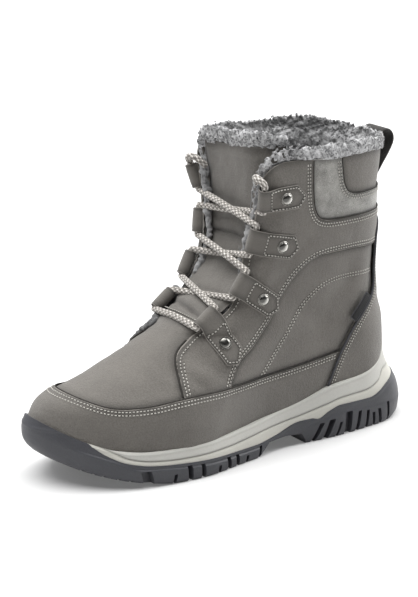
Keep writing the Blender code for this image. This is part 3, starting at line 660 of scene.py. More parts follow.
def add_thickness(made, thickness, offset=-1):
    """Thicken a sheet: inwards with an offset of -1, to both sides with 0."""
    modifier = made.modifiers.new("Thickness", "SOLIDIFY")
    modifier.thickness = thickness * MM
    modifier.offset = offset
    modifier.use_even_offset = True
    modifier.thickness_clamp = 1.0
    return modifier


def apply_modifiers(made):
    """Make the object's modified shape its own mesh."""
    graph = bpy.context.evaluated_depsgraph_get()
    shaped = bpy.data.meshes.new_from_object(made.evaluated_get(graph))
    made.modifiers.clear()
    old = made.data
    made.data = shaped
    bpy.data.meshes.remove(old)


def sharpen(made, degrees):
    """Shade a piece smooth but for its edges that turn by more than an angle."""
    made.data.shade_smooth()
    made.data.set_sharp_from_angle(angle=math.radians(degrees))


def firm(made, thickness, degrees=45, offset=-1):
    """Turn a sheet into a piece of material with crisp cut edges."""
    add_thickness(made, thickness, offset)
    apply_modifiers(made)
    sharpen(made, degrees)
    return made


def swept(name, path, radii, look, sides=12, **values):
    """A round cord along points, with a radius for each ring; radii may also vary round the ring."""
    along = unit(np.gradient(path, axis=0))
    ups = np.zeros_like(path)
    up = unit(np.cross(along[0], (0.3, 0.2, 0.9)))
    for i, heading in enumerate(along):
        up = unit(up - heading * up.dot(heading))
        ups[i] = up
    radii = np.broadcast_to(radii, (len(path), sides))
    rings = path[:, None] + radii[..., None] * circles(ups, np.cross(along, ups), sides)
    last = len(path) * sides
    faces = [*grid_quads(len(path), sides, True), range(sides), range(last - 1, last - sides - 1, -1)]
    made = new_object(name, rings.reshape(-1, 3), faces, look, **values)
    face_out(made)
    return made


def face_out(made):
    """Turn every face of a closed piece outwards."""
    work = bmesh.new()
    work.from_mesh(made.data)
    bmesh.ops.recalc_face_normals(work, faces=work.faces)
    work.to_mesh(made.data)
    work.free()


def face_along(made, wanted):
    """Turn every face to the side that the wanted normals point to."""
    wanted = Vector(wanted.mean(0))
    wanted.y *= -1
    total = Vector((0, 0, 0))
    for face in made.data.polygons:
        total += face.normal * face.area
    if total.dot(wanted) < 0:
        made.data.flip_normals()


def remeshed(made, voxel, rounds):
    """Turn a shell into an even soft body, and smooth it."""
    modifier = made.modifiers.new("Even", "REMESH")
    modifier.mode = "VOXEL"
    modifier.voxel_size = voxel * MM
    modifier.use_smooth_shade = True
    smooth = made.modifiers.new("Soft", "SMOOTH")
    smooth.factor = 0.5
    smooth.iterations = rounds
    apply_modifiers(made)


def read_mesh(made):
    """Points in millimetres (x, along, height) and outward normals of a mesh."""
    count = len(made.data.vertices)
    co = np.zeros(count * 3, np.float32)
    made.data.vertices.foreach_get("co", co)
    co = co.reshape(-1, 3).astype(float) / MM
    normal = np.array([v.normal for v in made.data.vertices], float)
    co[:, 1] = HEEL_Y - co[:, 1]
    normal[:, 1] *= -1
    return co, normal


def write_points(made, points):
    """Move a mesh's points to places in millimetres."""
    made.data.vertices.foreach_set("co", place(points).astype(np.float32).ravel())
    made.data.update()


# Finishes -------------------------------------------------------------------------------------
def set_inputs(tree, node, values):
    """Set a node's inputs to values, or link them to sockets."""
    for key, value in values.items():
        if isinstance(value, bpy.types.NodeSocket):
            tree.links.new(value, node.inputs[key])
        else:
            node.inputs[key].default_value = value
    return node


def add_node(tree, kind, values, **settings):
    """A shader node with its settings, and its inputs set to values or linked to sockets."""
    node = tree.nodes.new(kind)
    for key, value in settings.items():
        setattr(node, key, value)
    return set_inputs(tree, node, values)


def maths(tree, operation, *values, **settings):
    """The result of a Math node for numbers or sockets."""
    node = add_node(tree, "ShaderNodeMath", dict(enumerate(values)), operation=operation, **settings)
    return node.outputs[0]


def attribute(tree, name):
    """The number that a mesh's points hold under a name."""
    return add_node(tree, "ShaderNodeAttribute", {}, attribute_name=name).outputs["Fac"]


def new_group(name, inputs, outputs):
    """An empty node group, with {label: default} for its inputs and {label: kind} for its outputs."""
    group = bpy.data.node_groups.new(name, "ShaderNodeTree")
    for label, default in inputs.items():
        kind = "Color" if isinstance(default, tuple) else "Float"
        socket = group.interface.new_socket(label, in_out="INPUT", socket_type="NodeSocket" + kind)
        socket.default_value = default
    for label, kind in outputs.items():
        group.interface.new_socket(label, in_out="OUTPUT", socket_type="NodeSocket" + kind)
    return group, group.nodes.new("NodeGroupInput").outputs, group.nodes.new("NodeGroupOutput")


def use_group(tree, name, values):
    """Place a shared node group in a tree, building it the first time."""
    node = tree.nodes.new("ShaderNodeGroup")
    node.node_tree = bpy.data.node_groups.get(name) or GROUPS[name]()
    return set_inputs(tree, node, values).outputs


def noise_at(tree, size, detail=3.0):
    """A noise texture whose lumps are "size" millimetres across (a socket)."""
    spot = add_node(tree, "ShaderNodeTexCoord", {}).outputs["Object"]
    scale = maths(tree, "DIVIDE", 1.0 / MM, size)
    values = {"Vector": spot, "Scale": scale, "Detail": detail, "Roughness": 0.6}
    return add_node(tree, "ShaderNodeTexNoise", values).outputs["Fac"]


def mottling():
    """Slow and fine changes of a colour's brightness over the surface."""
    group, given, result = new_group(
        "Mottling", {"Colour": (0.1, 0.1, 0.1, 1), "Size": 12.0, "Strength": 0.2},
        {"Colour": "Color", "Mask": "Float"})
    slow = noise_at(group, given["Size"])
    fine = noise_at(group, maths(group, "MULTIPLY", given["Size"], 0.04), 4.0)
    level = maths(group, "SUBTRACT", maths(group, "MULTIPLY_ADD", fine, 2.2, slow), 1.6)
    bright = maths(group, "ADD", maths(group, "MULTIPLY", level, given["Strength"]), 1.0)
    values = {0: given["Colour"], "Scale": bright}
    tinted = add_node(group, "ShaderNodeVectorMath", values, operation="SCALE").outputs[0]
    set_inputs(group, result, {"Colour": tinted, "Mask": slow})
    return group


def grain():
    """Heights of a fine nap over a slower roughness, in millimetres."""
    sizes = {"Fine Size": 0.7, "Fine Depth": 0.05, "Coarse Size": 4.0, "Coarse Depth": 0.1}
    group, given, result = new_group("Grain", sizes, {"Height": "Float"})
    fine = maths(group, "MULTIPLY", noise_at(group, given["Fine Size"], 3.0), given["Fine Depth"])
    coarse = maths(group, "MULTIPLY", noise_at(group, given["Coarse Size"], 2.0), given["Coarse Depth"])
    set_inputs(group, result, {"Height": maths(group, "ADD", fine, coarse)})
    return group


def seam_shade():
    """Masks of a panel's rim: near its edge, fading inwards over "Reach" millimetres, and the cut edge."""
    group, given, result = new_group("Seam Shade", {"Reach": 3.0}, {"Near": "Float", "Edge": "Float"})
    seam = attribute(group, "seam")
    left = maths(group, "SUBTRACT", 1.0, maths(group, "DIVIDE", seam, given["Reach"]), use_clamp=True)
    near, edge = maths(group, "POWER", left, 1.6), maths(group, "LESS_THAN", seam, 0.45)
    set_inputs(group, result, {"Near": near, "Edge": edge})
    return group


# The shared node groups, and the inputs of the grain.
GROUPS = {"Mottling": mottling, "Grain": grain, "Seam Shade": seam_shade}
GRAIN_SIZES = ("Fine Size", "Fine Depth", "Coarse Size", "Coarse Depth")


def blend_colour(tree, mask, start, end):
    """The start colour where the mask is 0, and the end colour where it is 1."""
    values = {0: mask, 6: start, 7: end}
    return add_node(tree, "ShaderNodeMix", values, data_type="RGBA", blend_type="MIX").outputs[2]


def stretched(tree, value, low, high, to_low=0.0, to_high=1.0):
    """Map a value's range from low..high to to_low..to_high, held at the ends."""
    values = {"Value": value, "From Min": low, "From Max": high, "To Min": to_low, "To Max": to_high}
    return add_node(tree, "ShaderNodeMapRange", values, clamp=True).outputs["Result"]


def rgba(colour, factor=1.0):
    """A colour made darker or lighter, with its alpha."""
    return (*(c * factor for c in colour), 1.0)


def grain_height(tree, sizes):
    """Height of the shared grain for its sizes and depths."""
    return use_group(tree, "Grain", dict(zip(GRAIN_SIZES, sizes)))["Height"]


def make_look(name, roughness, colour, mottle, nap=None, shine=None, over=None,
              metallic=0.0, sheen=0.0, specular=0.5):
    """A material, made the first time that it is asked for.

    colour is a colour, or gives one for a tree. mottle is the mottling's size and strength, and over
    repaints the mottled colour. nap is the grain's sizes and depths, or gives a height for a tree.
    shine is the roughness at the mottling's low and high spots.
    """
    if name in bpy.data.materials:
        return bpy.data.materials[name]
    look = bpy.data.materials.new(name)
    look.use_nodes = True
    tree = look.node_tree
    shader = set_inputs(tree, tree.nodes["Principled BSDF"], {
        "Roughness": roughness, "Metallic": metallic, "Specular IOR Level": specular,
        "Sheen Weight": sheen, "Sheen Roughness": 0.6})
    tint = colour(tree) if callable(colour) else colour
    spots = use_group(tree, "Mottling", {"Colour": tint, "Size": mottle[0], "Strength": mottle[1]})
    painted = over(tree, spots["Colour"]) if over else spots["Colour"]
    set_inputs(tree, shader, {"Base Color": painted})
    if nap:
        height = nap(tree) if callable(nap) else grain_height(tree, nap)
        bump = add_node(tree, "ShaderNodeBump", {"Strength": 1.0, "Distance": MM, "Height": height})
        set_inputs(tree, shader, {"Normal": bump.outputs["Normal"]})
    if shine:
        set_inputs(tree, shader, {"Roughness": stretched(tree, spots["Mask"], 0.3, 0.7, *shine)})
    return look


def napped_look(name, colour, mottle=0.4, size=24.0, fine=0.4, coarse=0.25, sheen=0.2):
    """Brushed leather: a fine nap, soft mottling, painted shade along the seams and a painted highlight on
    the cut edges.
    """
    def shade_seams(tree, mottled):
        shade = use_group(tree, "Seam Shade", {"Reach": 5.5})
        # Painted shade: the colour darkens towards each seam, over 5.5 mm from it.
        seam_shaded = blend_colour(tree, shade["Near"], mottled, rgba(colour, 0.48))
        # Painted highlight: a paler line along each panel's cut edge.
        return blend_colour(tree, shade["Edge"], seam_shaded, rgba(colour, 1.6))

    return make_look(name, 0.86, rgba(colour), (size, mottle), (0.95, fine, 5.0, coarse), (0.8, 0.92),
                     shade_seams, sheen=sheen, specular=0.25)


def fleece_look(colour):
    """Grey pile, from painted shade at the roots and low inside the boot up to the full colour on the tufts,
    with curls brighter or darker at random.
    """
    def tint(tree):
        # The dark end of the blend is painted shade in the creases and low inside the boot.
        return blend_colour(tree, attribute(tree, "tone"), rgba(colour, 0.13), rgba(colour, 1.05))

    return make_look("grey fleece", 1.0, tint, (6.0, 0.4), (0.6, 0.5, 1.5, 0.8), sheen=0.35, specular=0.1)


def rubber_look(colour):
    """Black rubber with a fine texture and rubbed spots."""
    return make_look("black rubber", 0.5, rgba(colour), (20.0, 0.25), (0.9, 0.13, 6.0, 0.12), (0.42, 0.6))


def foam_look(colour, lower):
    """Pale moulded foam in two tones, parted by the groove, with painted shade in the groove."""
    def tint(tree):
        bands = blend_colour(tree, attribute(tree, "band"), rgba(lower), rgba(colour))
        # Painted shade: the colour is much darker in the fine groove.
        return blend_colour(tree, attribute(tree, "groove"), bands, rgba(lower, 0.42))

    nap = (0.45, 0.04, 8.0, 0.12)
    return make_look("pale foam", 0.62, tint, (25.0, 0.08), nap, (0.55, 0.7), specular=0.35)


def cord_look(colour, dark_strand_and_shade):
    """Braided cord: pale strands with darker flecks, and painted shade at the sides of the strands and in the
    gaps between them.
    """
    def tint(tree):
        return blend_colour(tree, attribute(tree, "strand"), rgba(dark_strand_and_shade), rgba(colour))

    return make_look("flecked cord", 0.8, tint, (3.0, 0.22), (0.3, 0.12, 1.1, 0.2), sheen=0.2, specular=0.3)


def thread_look(colour):
    """Pale twisted sewing thread."""
    return make_look("pale thread", 0.7, rgba(colour), (5.0, 0.35), (0.25, 0.1, 0.6, 0.1), sheen=0.2)


def metal_look(colour):
    """Polished nickel with faint rubbed patches, and a painted reflection: dark where it is seen straight on,
    bright where it turns away.
    """
    def tint(tree):
        painted_reflection_facing = add_node(tree, "ShaderNodeLayerWeight", {"Blend": 0.5}).outputs["Facing"]
        # Painted reflection: the colour runs from dark face-on to bright where the dome turns away.
        return blend_colour(tree, stretched(tree, painted_reflection_facing, 0.14, 0.5), rgba(colour, 0.18), rgba(colour, 1.35))

    return make_look("dark nickel", 0.2, tint, (2.5, 0.12), None, (0.2, 0.36), metallic=0.85)


def ribbon_look(name, colour):
    """Black woven ribbon with a fine rib."""
    def tint(tree):
        edge = use_group(tree, "Seam Shade", {"Reach": 1.0})["Edge"]
        return blend_colour(tree, edge, rgba(colour), rgba(colour, 6.0))

    def rib(tree):
        spot = add_node(tree, "ShaderNodeTexCoord", {}).outputs["Object"]
        values = {"Vector": spot, "Scale": 420.0, "Distortion": 0.6}
        wave = add_node(tree, "ShaderNodeTexWave", values, bands_direction="DIAGONAL").outputs["Fac"]
        return maths(tree, "MULTIPLY", wave, 0.12)

    return make_look(name, 0.65, tint, (4.0, 0.3), rib, specular=0.3)


def plain_floor_look(colour, glow):
    """Matt white studio floor, lit a little from below, with a barely visible mottling."""
    look = make_look("studio floor", 0.9, rgba(colour), (200.0, 0.01), specular=0.1)
    shader = look.node_tree.nodes["Principled BSDF"]
    set_inputs(look.node_tree, shader, {"Emission Color": (1, 1, 1, 1), "Emission Strength": glow})
    return look


# Upper panels ---------------------------------------------------------------------------------
def guard_lift():
    """The mudguard's face rises where it lies over the facing."""
    vamp, quarter = distances(VAMP_EDGE, QUARTER_EDGE)
    over = least(vamp, -quarter)
    return LIFTS["mudguard"] + GUARD_RISE * ease((over + 7) / 12)


def above_rim():
    """Height of the skin's points over a line a little under the foam's rim."""
    return SKIN.points[..., 2] - column(RIM, "height", SKIN.points[..., 1]) + 0.6


def regions():
    """For each panel, the side-view field that cuts it out and the distance from its seams."""
    edge, vamp, quarter, suede, patch, guard, counter = distances(*PANEL_EDGES)
    base_seams = [least(-vamp, -guard, edge), least(quarter, -counter, -guard), least(-patch, edge)]
    drawn_back = 1.2 * np.clip(vamp / 3, 0, 1) * np.clip(suede / 3, 0, 1)
    return {
        "base": (edge - drawn_back, np.maximum.reduce(base_seams)),
        "facing": (least(edge, vamp, -quarter, suede, 8 - guard),
                   least(edge, vamp, -quarter, suede, np.abs(guard) + 0.3)),
        "suede": (least(edge, 3 - suede, patch), least(edge, -suede, patch)),
        "mudguard": (least(guard, 2 - counter, above_rim()), least(guard, -counter)),
        "counter": (least(counter, above_rim()), counter),
    }


def panel_face(name):
    """Points on a panel's outer face, fuller away from its seams."""
    seam = np.clip(regions()[name][1], 0, None)
    lift = guard_lift() if name == "mudguard" else LIFTS[name]
    return SKIN.lifted(lift + PILLOW * (1 - np.exp(-seam / PILLOW_RUN)) - PILLOW)


def cut_panel(name, look, title, *slot_and_node):
    """Cut a panel out of the skin, thicken it and attach it."""
    field, seam = regions()[name]
    points, faces, depth = clipped(panel_face(name), field, np.clip(seam, 0, 30))
    made = new_object(title, points, faces, look, seam=depth)
    settle(firm(made, LEATHER, degrees=40), *slot_and_node)


def build_upper(colours):
    """The base of the upper, the facings over it and the suede collar."""
    nubuck = napped_look("taupe nubuck", colours.leather)
    cut_panel("base", nubuck, "upper_leather", "upper", "upper")
    cut_panel("facing", nubuck, "facings", "upper")
    suede = napped_look("pale suede", colours.suede, mottle=1.4, size=10.0, fine=0.3, coarse=0.4, sheen=0.3)
    cut_panel("suede", suede, "suede_collar", "suede")


def lay_cords(name, look, slot, field, keep, lift, radius, sides=6, shortest=12, every=4, step=1.0):
    """Cords on the lifted skin where a field is zero; "every" thins out the traced points."""
    for number, (line, _) in enumerate(traced(SKIN.lifted(lift), SKIN.normals, field, keep), 1):
        if len(line) > shortest:
            line = curve_through(line[::every], step)
            settle(swept(f"{name}_{number}", line, radius, look, sides), slot)


def build_shadow_lines(colours):
    """Painted shadow: dark cords laid beside the edges where one panel lies on another."""
    # A very dark leather colour for the cords that stand for shadow.
    look = napped_look("painted shadow line", [0.16 * part for part in colours.leather], sheen=0.0)
    edge, vamp, quarter, suede, patch, guard, counter = distances(*PANEL_EDGES)
    above = least(-guard - 0.5, -counter - 0.5)
    on_leather = least(edge - 0.5, above)
    low = least(above, 88 - SKIN.points[..., 2])
    for word, field, keep, lift, radius in (
            ("mudguard", guard + 0.4, -counter, guard_lift() - 0.75, 0.5),
            ("suede", suede + 0.4, on_leather, 1.0, 0.45),
            ("patch", patch + 0.4, on_leather, 0.35, 0.4),
            ("facing", vamp + 0.5, low, 0.5, 0.75),
            ("quarter", quarter - 0.3, above, 0.35, 0.4)):
        # The seam_ cords are painted shadow lines, not parts of the boot.
        lay_cords("seam_" + word, look, "upper", field, keep, lift, radius)


def build_overlays(colours):
    """The mudguard and the heel counter, the painted shadow lines beside the panels' edges, and the piping.
    """
    look = napped_look("overlay nubuck", colours.overlay)
    cut_panel("mudguard", look, "mudguard_band", "overlay", "mudguard")
    cut_panel("counter", look, "heel_cup", "overlay", "heel_counter")
    build_shadow_lines(colours)
    lay_cords("heel_piping", ribbon_look("black piping", colours.black), "overlay",
              SKIN.from_edge(COUNTER_EDGE) - 0.2, above_rim() - 0.5, lift=1.9, radius=0.85, sides=10,
              shortest=30, every=6, step=1.2)


# Fleece ---------------------------------------------------------------------------------------
PILE_EDGE = (
    (240, 80), (205, 84), (175, 88), (165.5, 95.5), (158, 105.5), (154.2, 118), (150.6, 131), (147.8, 145),
    (145.8, 157), (144.6, 168.5), (143.9, 182), (143.2, 192), (140.5, 201.5), (135.5, 207.5), (126, 210.6),
    (112, 210.6), (93, 209), (72, 208.4), (45, 207.6), (28, 204.6), (8, 201),
)


def inside_leather(points):
    """Distance of points from the leather's cut edge in side view, positive under the leather."""
    return beside(points[:, 1:], curve_through(LEATHER_EDGE, 3.0))


def outward(points, normals):
    """How far normals point away from the middle of the boot."""
    away = np.zeros_like(points)
    away[:, 0] = points[:, 0] + 1e-6
    away[:, 1] = points[:, 1] - np.clip(points[:, 1], 45, 110)
    return (unit(away) * normals).sum(1) + 0.8 * normals[:, 2] * (points[:, 2] < 100)


def pile_tone(points):
    """Painted shade on the pile: darker down inside the boot and along the throat's edges than on the collar.
    """
    front = ease((points[:, 1] - 116) / 8) * ease((points[:, 2] - 96) / 30)
    tone = np.maximum(0.3 + 0.6 * ease((points[:, 2] - 174) / 20), 0.3 + 0.08 * front)
    return tone * (1 - 0.8 * ease((114 - points[:, 2]) / 14))


def under_upper(points, normals):
    """Where the leather covers the fleece."""
    return (inside_leather(points) > 0.3) & (outward(points, normals) > -0.1)


def under_tongue(points, normals):
    """Where the tongue covers the fleece."""
    return (points[:, 2] < 203 + 0.08 * points[:, 0]) & (normals[:, 1] > -0.2)


def open_pile(points, normals):
    """Nothing lies on this fleece."""
    return np.zeros(len(points), bool)


def ruffle(made, covered=open_pile, full=1.0):
    """Push a fleece surface into round tufts with creases between them, but not where it is covered, and
    paint shade into the creases.
    """
    points, normals = read_mesh(made)
    slow = bumps(points, 11.0, 1)
    tuft = np.abs(bumps(points, 3.6, 2))
    curl = np.abs(bumps(points, 1.7, 3))
    relief = full * (0.9 * slow + 2.1 * tuft + 1.0 * curl - 0.8)
    relief = np.where(covered(points, normals), np.minimum(relief, 0) - 0.5, relief)
    write_points(made, points + normals * relief[:, None])
    made.modifiers.new("Soften", "SMOOTH").iterations = 4
    apply_modifiers(made)
    # Painted shade: lighter on the tops of the tufts and darker in the creases between them, with a slow
    # random change, times the painted shade of the pile.
    tone = np.clip(0.28 + 0.2 * slow + 1.1 * tuft + 0.9 * curl, 0, 1) * pile_tone(points)
    add_values(made.data, "tone", tone)


def lining_shell(name, field, lift, thick, look):
    """A shell of fleece under the skin; thick is its thickness at each point of the skin."""
    most = float(thick.max())
    points, faces, share = clipped(SKIN.lifted(lift), field, thick / most)
    made = new_object(name, points, faces, look)
    group = made.vertex_groups.new(name="pile")
    for index, weight in enumerate(share):
        group.add([index], float(weight), "REPLACE")
    add_thickness(made, most).vertex_group = "pile"
    return made


def pile_roll(name, side, spots, look, radii, lift):
    """A roll of fleece along a line in the side view, on one side of the foot."""
    spots = curve_through([(0, *spot) for spot in spots], 0.8)
    line, normals = SIDES.spot(side, spots[:, 1], spots[:, 2])
    roll = swept(name, line + lift * normals, np.linspace(*radii, len(line))[:, None], look, 14)
    remeshed(roll, voxel=0.9, rounds=1)
    ruffle(roll)
    settle(roll, "fleece")


def build_fleece(colours):
    """The lining of the shaft and the foot, and the rolls of pile along the throat."""
    look = fleece_look(colours.fleece)
    edge, pile = distances(LEATHER_EDGE, PILE_EDGE)
    x, along, height = np.moveaxis(SKIN.points, -1, 0)
    far_throat = ease((along - 125) / 10) * (x < 0)
    out = pile - 2.4 * ease((along - 125) / 10) - 0.5 * far_throat
    thick = FLEECE_FOOT + (FLEECE_COLLAR - FLEECE_FOOT) * ease((height - 80) / 110)
    round_off = 1 - ease(out / 4)
    over = 0.6 + 1.4 * ease((height - 185) / 12)
    lift = -LEATHER - 0.1 + over * ease((2.5 - edge) / 4) - 1.6 * round_off
    thick = np.maximum(thick - 3.0 * round_off, 4.2)
    shaft = lining_shell("shaft_fleece", least(out, height - 96), lift, thick, look)
    remeshed(shaft, voxel=1.2, rounds=6)
    ruffle(shaft, under_upper)
    settle(shaft, "fleece")
    foot = lining_shell("foot_fleece", least(edge + 0.8, 99 - height), -LEATHER - 0.2,
                        np.full(edge.shape, FLEECE_FOOT), look)
    remeshed(foot, voxel=2.6, rounds=2)
    ruffle(foot, under_upper, full=0.6)
    settle(foot, "fleece")
    pile_roll("flap_fleece", -1, FLAP_PILE, look, radii=(3.8, 1.2), lift=0.9)
    throat = [(along + 1.0, height) for along, height in LEATHER_EDGE[8:16]]
    pile_roll("edge_fleece_outer", 1, throat, look, radii=(1.7, 2.5), lift=-2.7)
    pile_roll("edge_fleece_inner", -1, throat, look, radii=(1.7, 2.5), lift=-2.7)


def curl_seeds(made, count, random, wanted):
    """Random points of a mesh, with their normals, where "wanted" gives the chance at each point."""
    points, normals = read_mesh(made)
    chance = wanted(points, normals)
    picked = random.choice(len(points), count, replace=True, p=chance / chance.sum())
    return points[picked], normals[picked]


def curl_object(name, seeds, normals, random, look, length, thickness):
    """Short curled fibres lying on the pile, each brighter or darker at random and darkened by the painted
    shade of the pile.
    """
    steps, sides = 6, 3
    count = len(seeds)
    s = np.linspace(0, 1, steps)
    one = unit(np.cross(normals, random.normal(size=(count, 3))))
    lean = random.uniform(-0.6, 0.6, (count, 1))
    two = unit(np.cross(normals, one) * np.cos(lean) + normals * np.sin(lean))
    size = length * random.uniform(0.25, 0.5, (count, 1))
    angle = random.uniform(0, 6.283, (count, 1)) + s * random.uniform(3.2, 5.4, (count, 1))
    spread = (size * (1 - 0.35 * s))[..., None]
    path = (seeds + random.normal(scale=0.18, size=(count, 3)) - 0.05 * normals)[:, None]
    path = path + spread * (one[:, None] * np.cos(angle)[..., None] + two[:, None] * np.sin(angle)[..., None])
    ahead = unit(np.gradient(path, axis=1))
    first = unit(np.cross(ahead, normals[:, None] + 0.3 * one[:, None]))
    ring = circles(first, np.cross(ahead, first), sides)
    widths = thickness * (0.4 + 0.6 * np.sin(s * math.pi) ** 0.5)
    # Random brightness for each curl, times the painted shade low inside the boot.
    tone = np.repeat(np.clip(random.normal(0.5, 0.16, count), 0, 1) * pile_tone(seeds), steps * sides)
    return short_tubes(name, path, ring, widths, look, tone=tone)


# Tongue ---------------------------------------------------------------------------------------
def tongue_grid(rows, columns, first=0.0, last=TONGUE_TOP, lift=0.0, wider=0.0):
    """Points across the tongue's outer face from its base up, and their outward normals."""
    at = np.linspace(first, last, rows)
    held = np.clip(at, 0, TONGUE_TOP)
    along, height, half, crown, tilt, wrap = (
        column(TONGUE, name, held, "row") for name in ("along", "height", "half", "crown", "tilt", "wrap"))
    top_run = np.array([TONGUE[name][-1] - TONGUE[name][-2] for name in ("along", "height")])
    middle = np.stack([along, height], -1) + (at - held)[:, None] * top_run
    run = unit(np.gradient(middle, axis=0))
    inward = np.stack([-run[:, 1], run[:, 0]], -1)
    across = np.linspace(-1, 1, columns)
    x = (half + wider)[:, None] * across
    depth = crown[:, None] * across ** 2 + wrap[:, None] * np.clip(across, 0, 1) ** 4
    side = middle[:, None] + inward[:, None] * depth[..., None]
    points = np.stack([x, side[..., 0], side[..., 1] + x * tilt[:, None]], -1)
    normals = -grid_normals(points, closed=False)
    normals *= np.sign((normals[..., 1]).mean() or 1)
    return points + normals * lift, normals


def build_tongue(colours):
    """The tongue's padded face, with its folds and its cross seam."""
    rows, columns = 144, 70
    points, normals = tongue_grid(rows, columns)
    at = np.linspace(0, TONGUE_TOP, rows)[:, None]
    across = np.linspace(-1, 1, columns)[None, :]
    rim = np.minimum(1 - np.abs(across), (TONGUE_TOP - at) / 3.0)
    relief = -2.2 * (1 - ease(rim / 0.22)) + 0.5 * bumps(points, 16.0, 5) + 0.2 * bumps(points, 7.0, 6)
    seam = np.abs(at - TONGUE_SEAM_ROW - 0.12 * across + 0.10 * across ** 2) * 10.0
    relief = relief - 1.9 * np.exp(-(seam / 1.1) ** 2) + 0.6 * np.exp(-((seam - 4.5) / 3.5) ** 2)
    swell = sum(rise * np.exp(-((at - row) / reach) ** 2) for row, reach, rise in TONGUE_SWELLS)
    relief = relief + swell * (1 - across ** 2)
    for row, sway, depth, reach in TONGUE_FOLDS:
        fold = at - row - sway * across
        relief = relief - depth * np.exp(-(fold / reach) ** 2) * (1 - 0.6 * across ** 2)
    made = grid_object("tongue_face", points + normals * relief[..., None],
                       napped_look("tongue nubuck", colours.tongue), np.clip(seam, 1.0, 20), normals)
    settle(firm(made, TONGUE_LEATHER), "tongue", "tongue")


def build_tongue_fleece(colours):
    """The fleece behind the tongue, rolled over its top."""
    rows, columns = 110, 50
    first, last = 2.0, TONGUE_TOP + 1
    points, normals = tongue_grid(rows, columns, first, last, lift=-TONGUE_LEATHER - 0.6, wider=1.5)
    at = np.linspace(first, last, rows)[:, None]
    above = ease((at - 12.05) / 0.4)
    points = points + normals * (3.4 * above * np.ones((1, columns)))[..., None]
    points[..., 2] -= 6.0 * above * ease((np.abs(np.linspace(-1, 1, columns)) - 0.72) / 0.28)
    made = grid_object("tongue_fleece", points, fleece_look(colours.fleece), normals=normals)
    add_thickness(made, FLEECE_ROLL)
    remeshed(made, voxel=1.15, rounds=8)
    ruffle(made, under_tongue)
    settle(made, "fleece")


# Lacing ---------------------------------------------------------------------------------------
def loop_frame(index, side):
    """Ends of the lace hole, and the strap's directions: along the hole, outwards and forwards."""
    row = {name: values[index] for name, values in LOOPS.items()}
    low = np.array([side * row["x_low"], row["along_low"], row["height_low"]], float)
    top = np.array([side * row["x_top"], row["along_top"], row["height_top"]], float)
    rivet, out_at_rivet = SIDES.spot(side, row["rivet_along"], row["rivet_height"])
    axis = unit(top - low)
    back = rivet - (low + top) / 2
    back = unit(back - axis * back.dot(axis))
    out = np.cross(axis, back)
    out = out * math.copysign(1, out.dot(out_at_rivet))
    return low, top, axis, out, -back, rivet


def strap_surface(index, side, u, v):
    """The middle of a strap's thickness at u from the lace towards its tip and v across it."""
    low, top, axis, out, ahead, rivet = loop_frame(index, side)
    centre = (low + top) / 2
    across = axis[1:] / np.linalg.norm(axis[1:])
    reach = np.linalg.norm(rivet - centre)
    lift = STRAP_LIFT + STRAP_THICK / 2
    flat_u = np.clip(u, 0, None)[..., None]
    spot = centre[1:] + (rivet - centre)[1:] * flat_u / reach + across * v[..., None]
    flat, _ = SIDES.spot(side, spot[..., 0], spot[..., 1], lift)
    straight = centre + out * LOOP_RADIUS - ahead * flat_u + axis * v[..., None]
    share = ease(flat_u / (STRAP_LEAVES * (reach + STRAP_TIP)))
    turn = np.clip(-u, 0, None)[..., None] / LOOP_RADIUS
    ring = centre + axis * v[..., None] + (out * np.cos(turn) + ahead * np.sin(turn)) * LOOP_RADIUS
    return np.where(u[..., None] < 0, ring, flat * share + straight * (1 - share))


def strap_reach(index, side):
    """Distance from the middle of the lace hole to the rivet."""
    low, top, _, _, _, rivet = loop_frame(index, side)
    return float(np.linalg.norm(rivet - (low + top) / 2))


def strap_inside(u, v, length):
    """Distance inside the strap's pointed outline."""
    half = STRAP_WIDTH / 2
    slope = math.hypot(half, STRAP_POINT)
    tip = ((length - u) * half - np.abs(v) * STRAP_POINT) / slope
    return np.minimum(half - np.abs(v), tip)


def strap_normals(index, side, u, v):
    """Outward normals of a strap, away from the foot at its rivet."""
    def across_surface(u, v, step=0.4):
        du = strap_surface(index, side, u + step, v) - strap_surface(index, side, u - step, v)
        dv = strap_surface(index, side, u, v + step) - strap_surface(index, side, u, v - step)
        return np.cross(du, dv)

    at_rivet = across_surface(np.array([strap_reach(index, side)]), np.zeros(1))[0]
    _, out = SIDES.spot(side, LOOPS["rivet_along"][index], LOOPS["rivet_height"][index])
    return unit(across_surface(u, v)) * math.copysign(1, float(at_rivet @ out))


def build_straps(colours):
    """The eight pointed straps, each folded round the lace."""
    look = napped_look("strap nubuck", colours.strap, mottle=0.12)
    half = STRAP_WIDTH / 2 + 0.4
    for index, side, word in STRAPS:
        length = strap_reach(index, side) + STRAP_TIP
        u_line = np.linspace(-math.radians(LOOP_TURN) * LOOP_RADIUS, length + 0.5, 86)
        u, v = np.meshgrid(u_line, np.linspace(-half, half, 29), indexing="ij")
        inside = strap_inside(u, v, length)
        dip = 0.22 * np.exp(-((inside - 1.9) / 0.8) ** 2) + 0.25 * np.exp(-np.clip(inside, 0, None) / 0.5)
        points = strap_surface(index, side, u, v) - strap_normals(index, side, u, v) * dip[..., None]
        cut, faces, depth = clipped(points, inside, np.clip(inside, 0, 20), closed=False)
        made = new_object("strap_" + word, cut, faces, look, seam=depth)
        settle(firm(made, STRAP_THICK, offset=0), "strap", "strap_loop_" + word)


RIVET_RING = ((4.2, -0.5), (4.25, 0.1), (4.17, 0.4), (4.0, 0.55), (3.75, 0.5), (3.6, 0.0))
RIVET_DOME = (3.5, 0.1, 1.9)         # radius, foot and rise


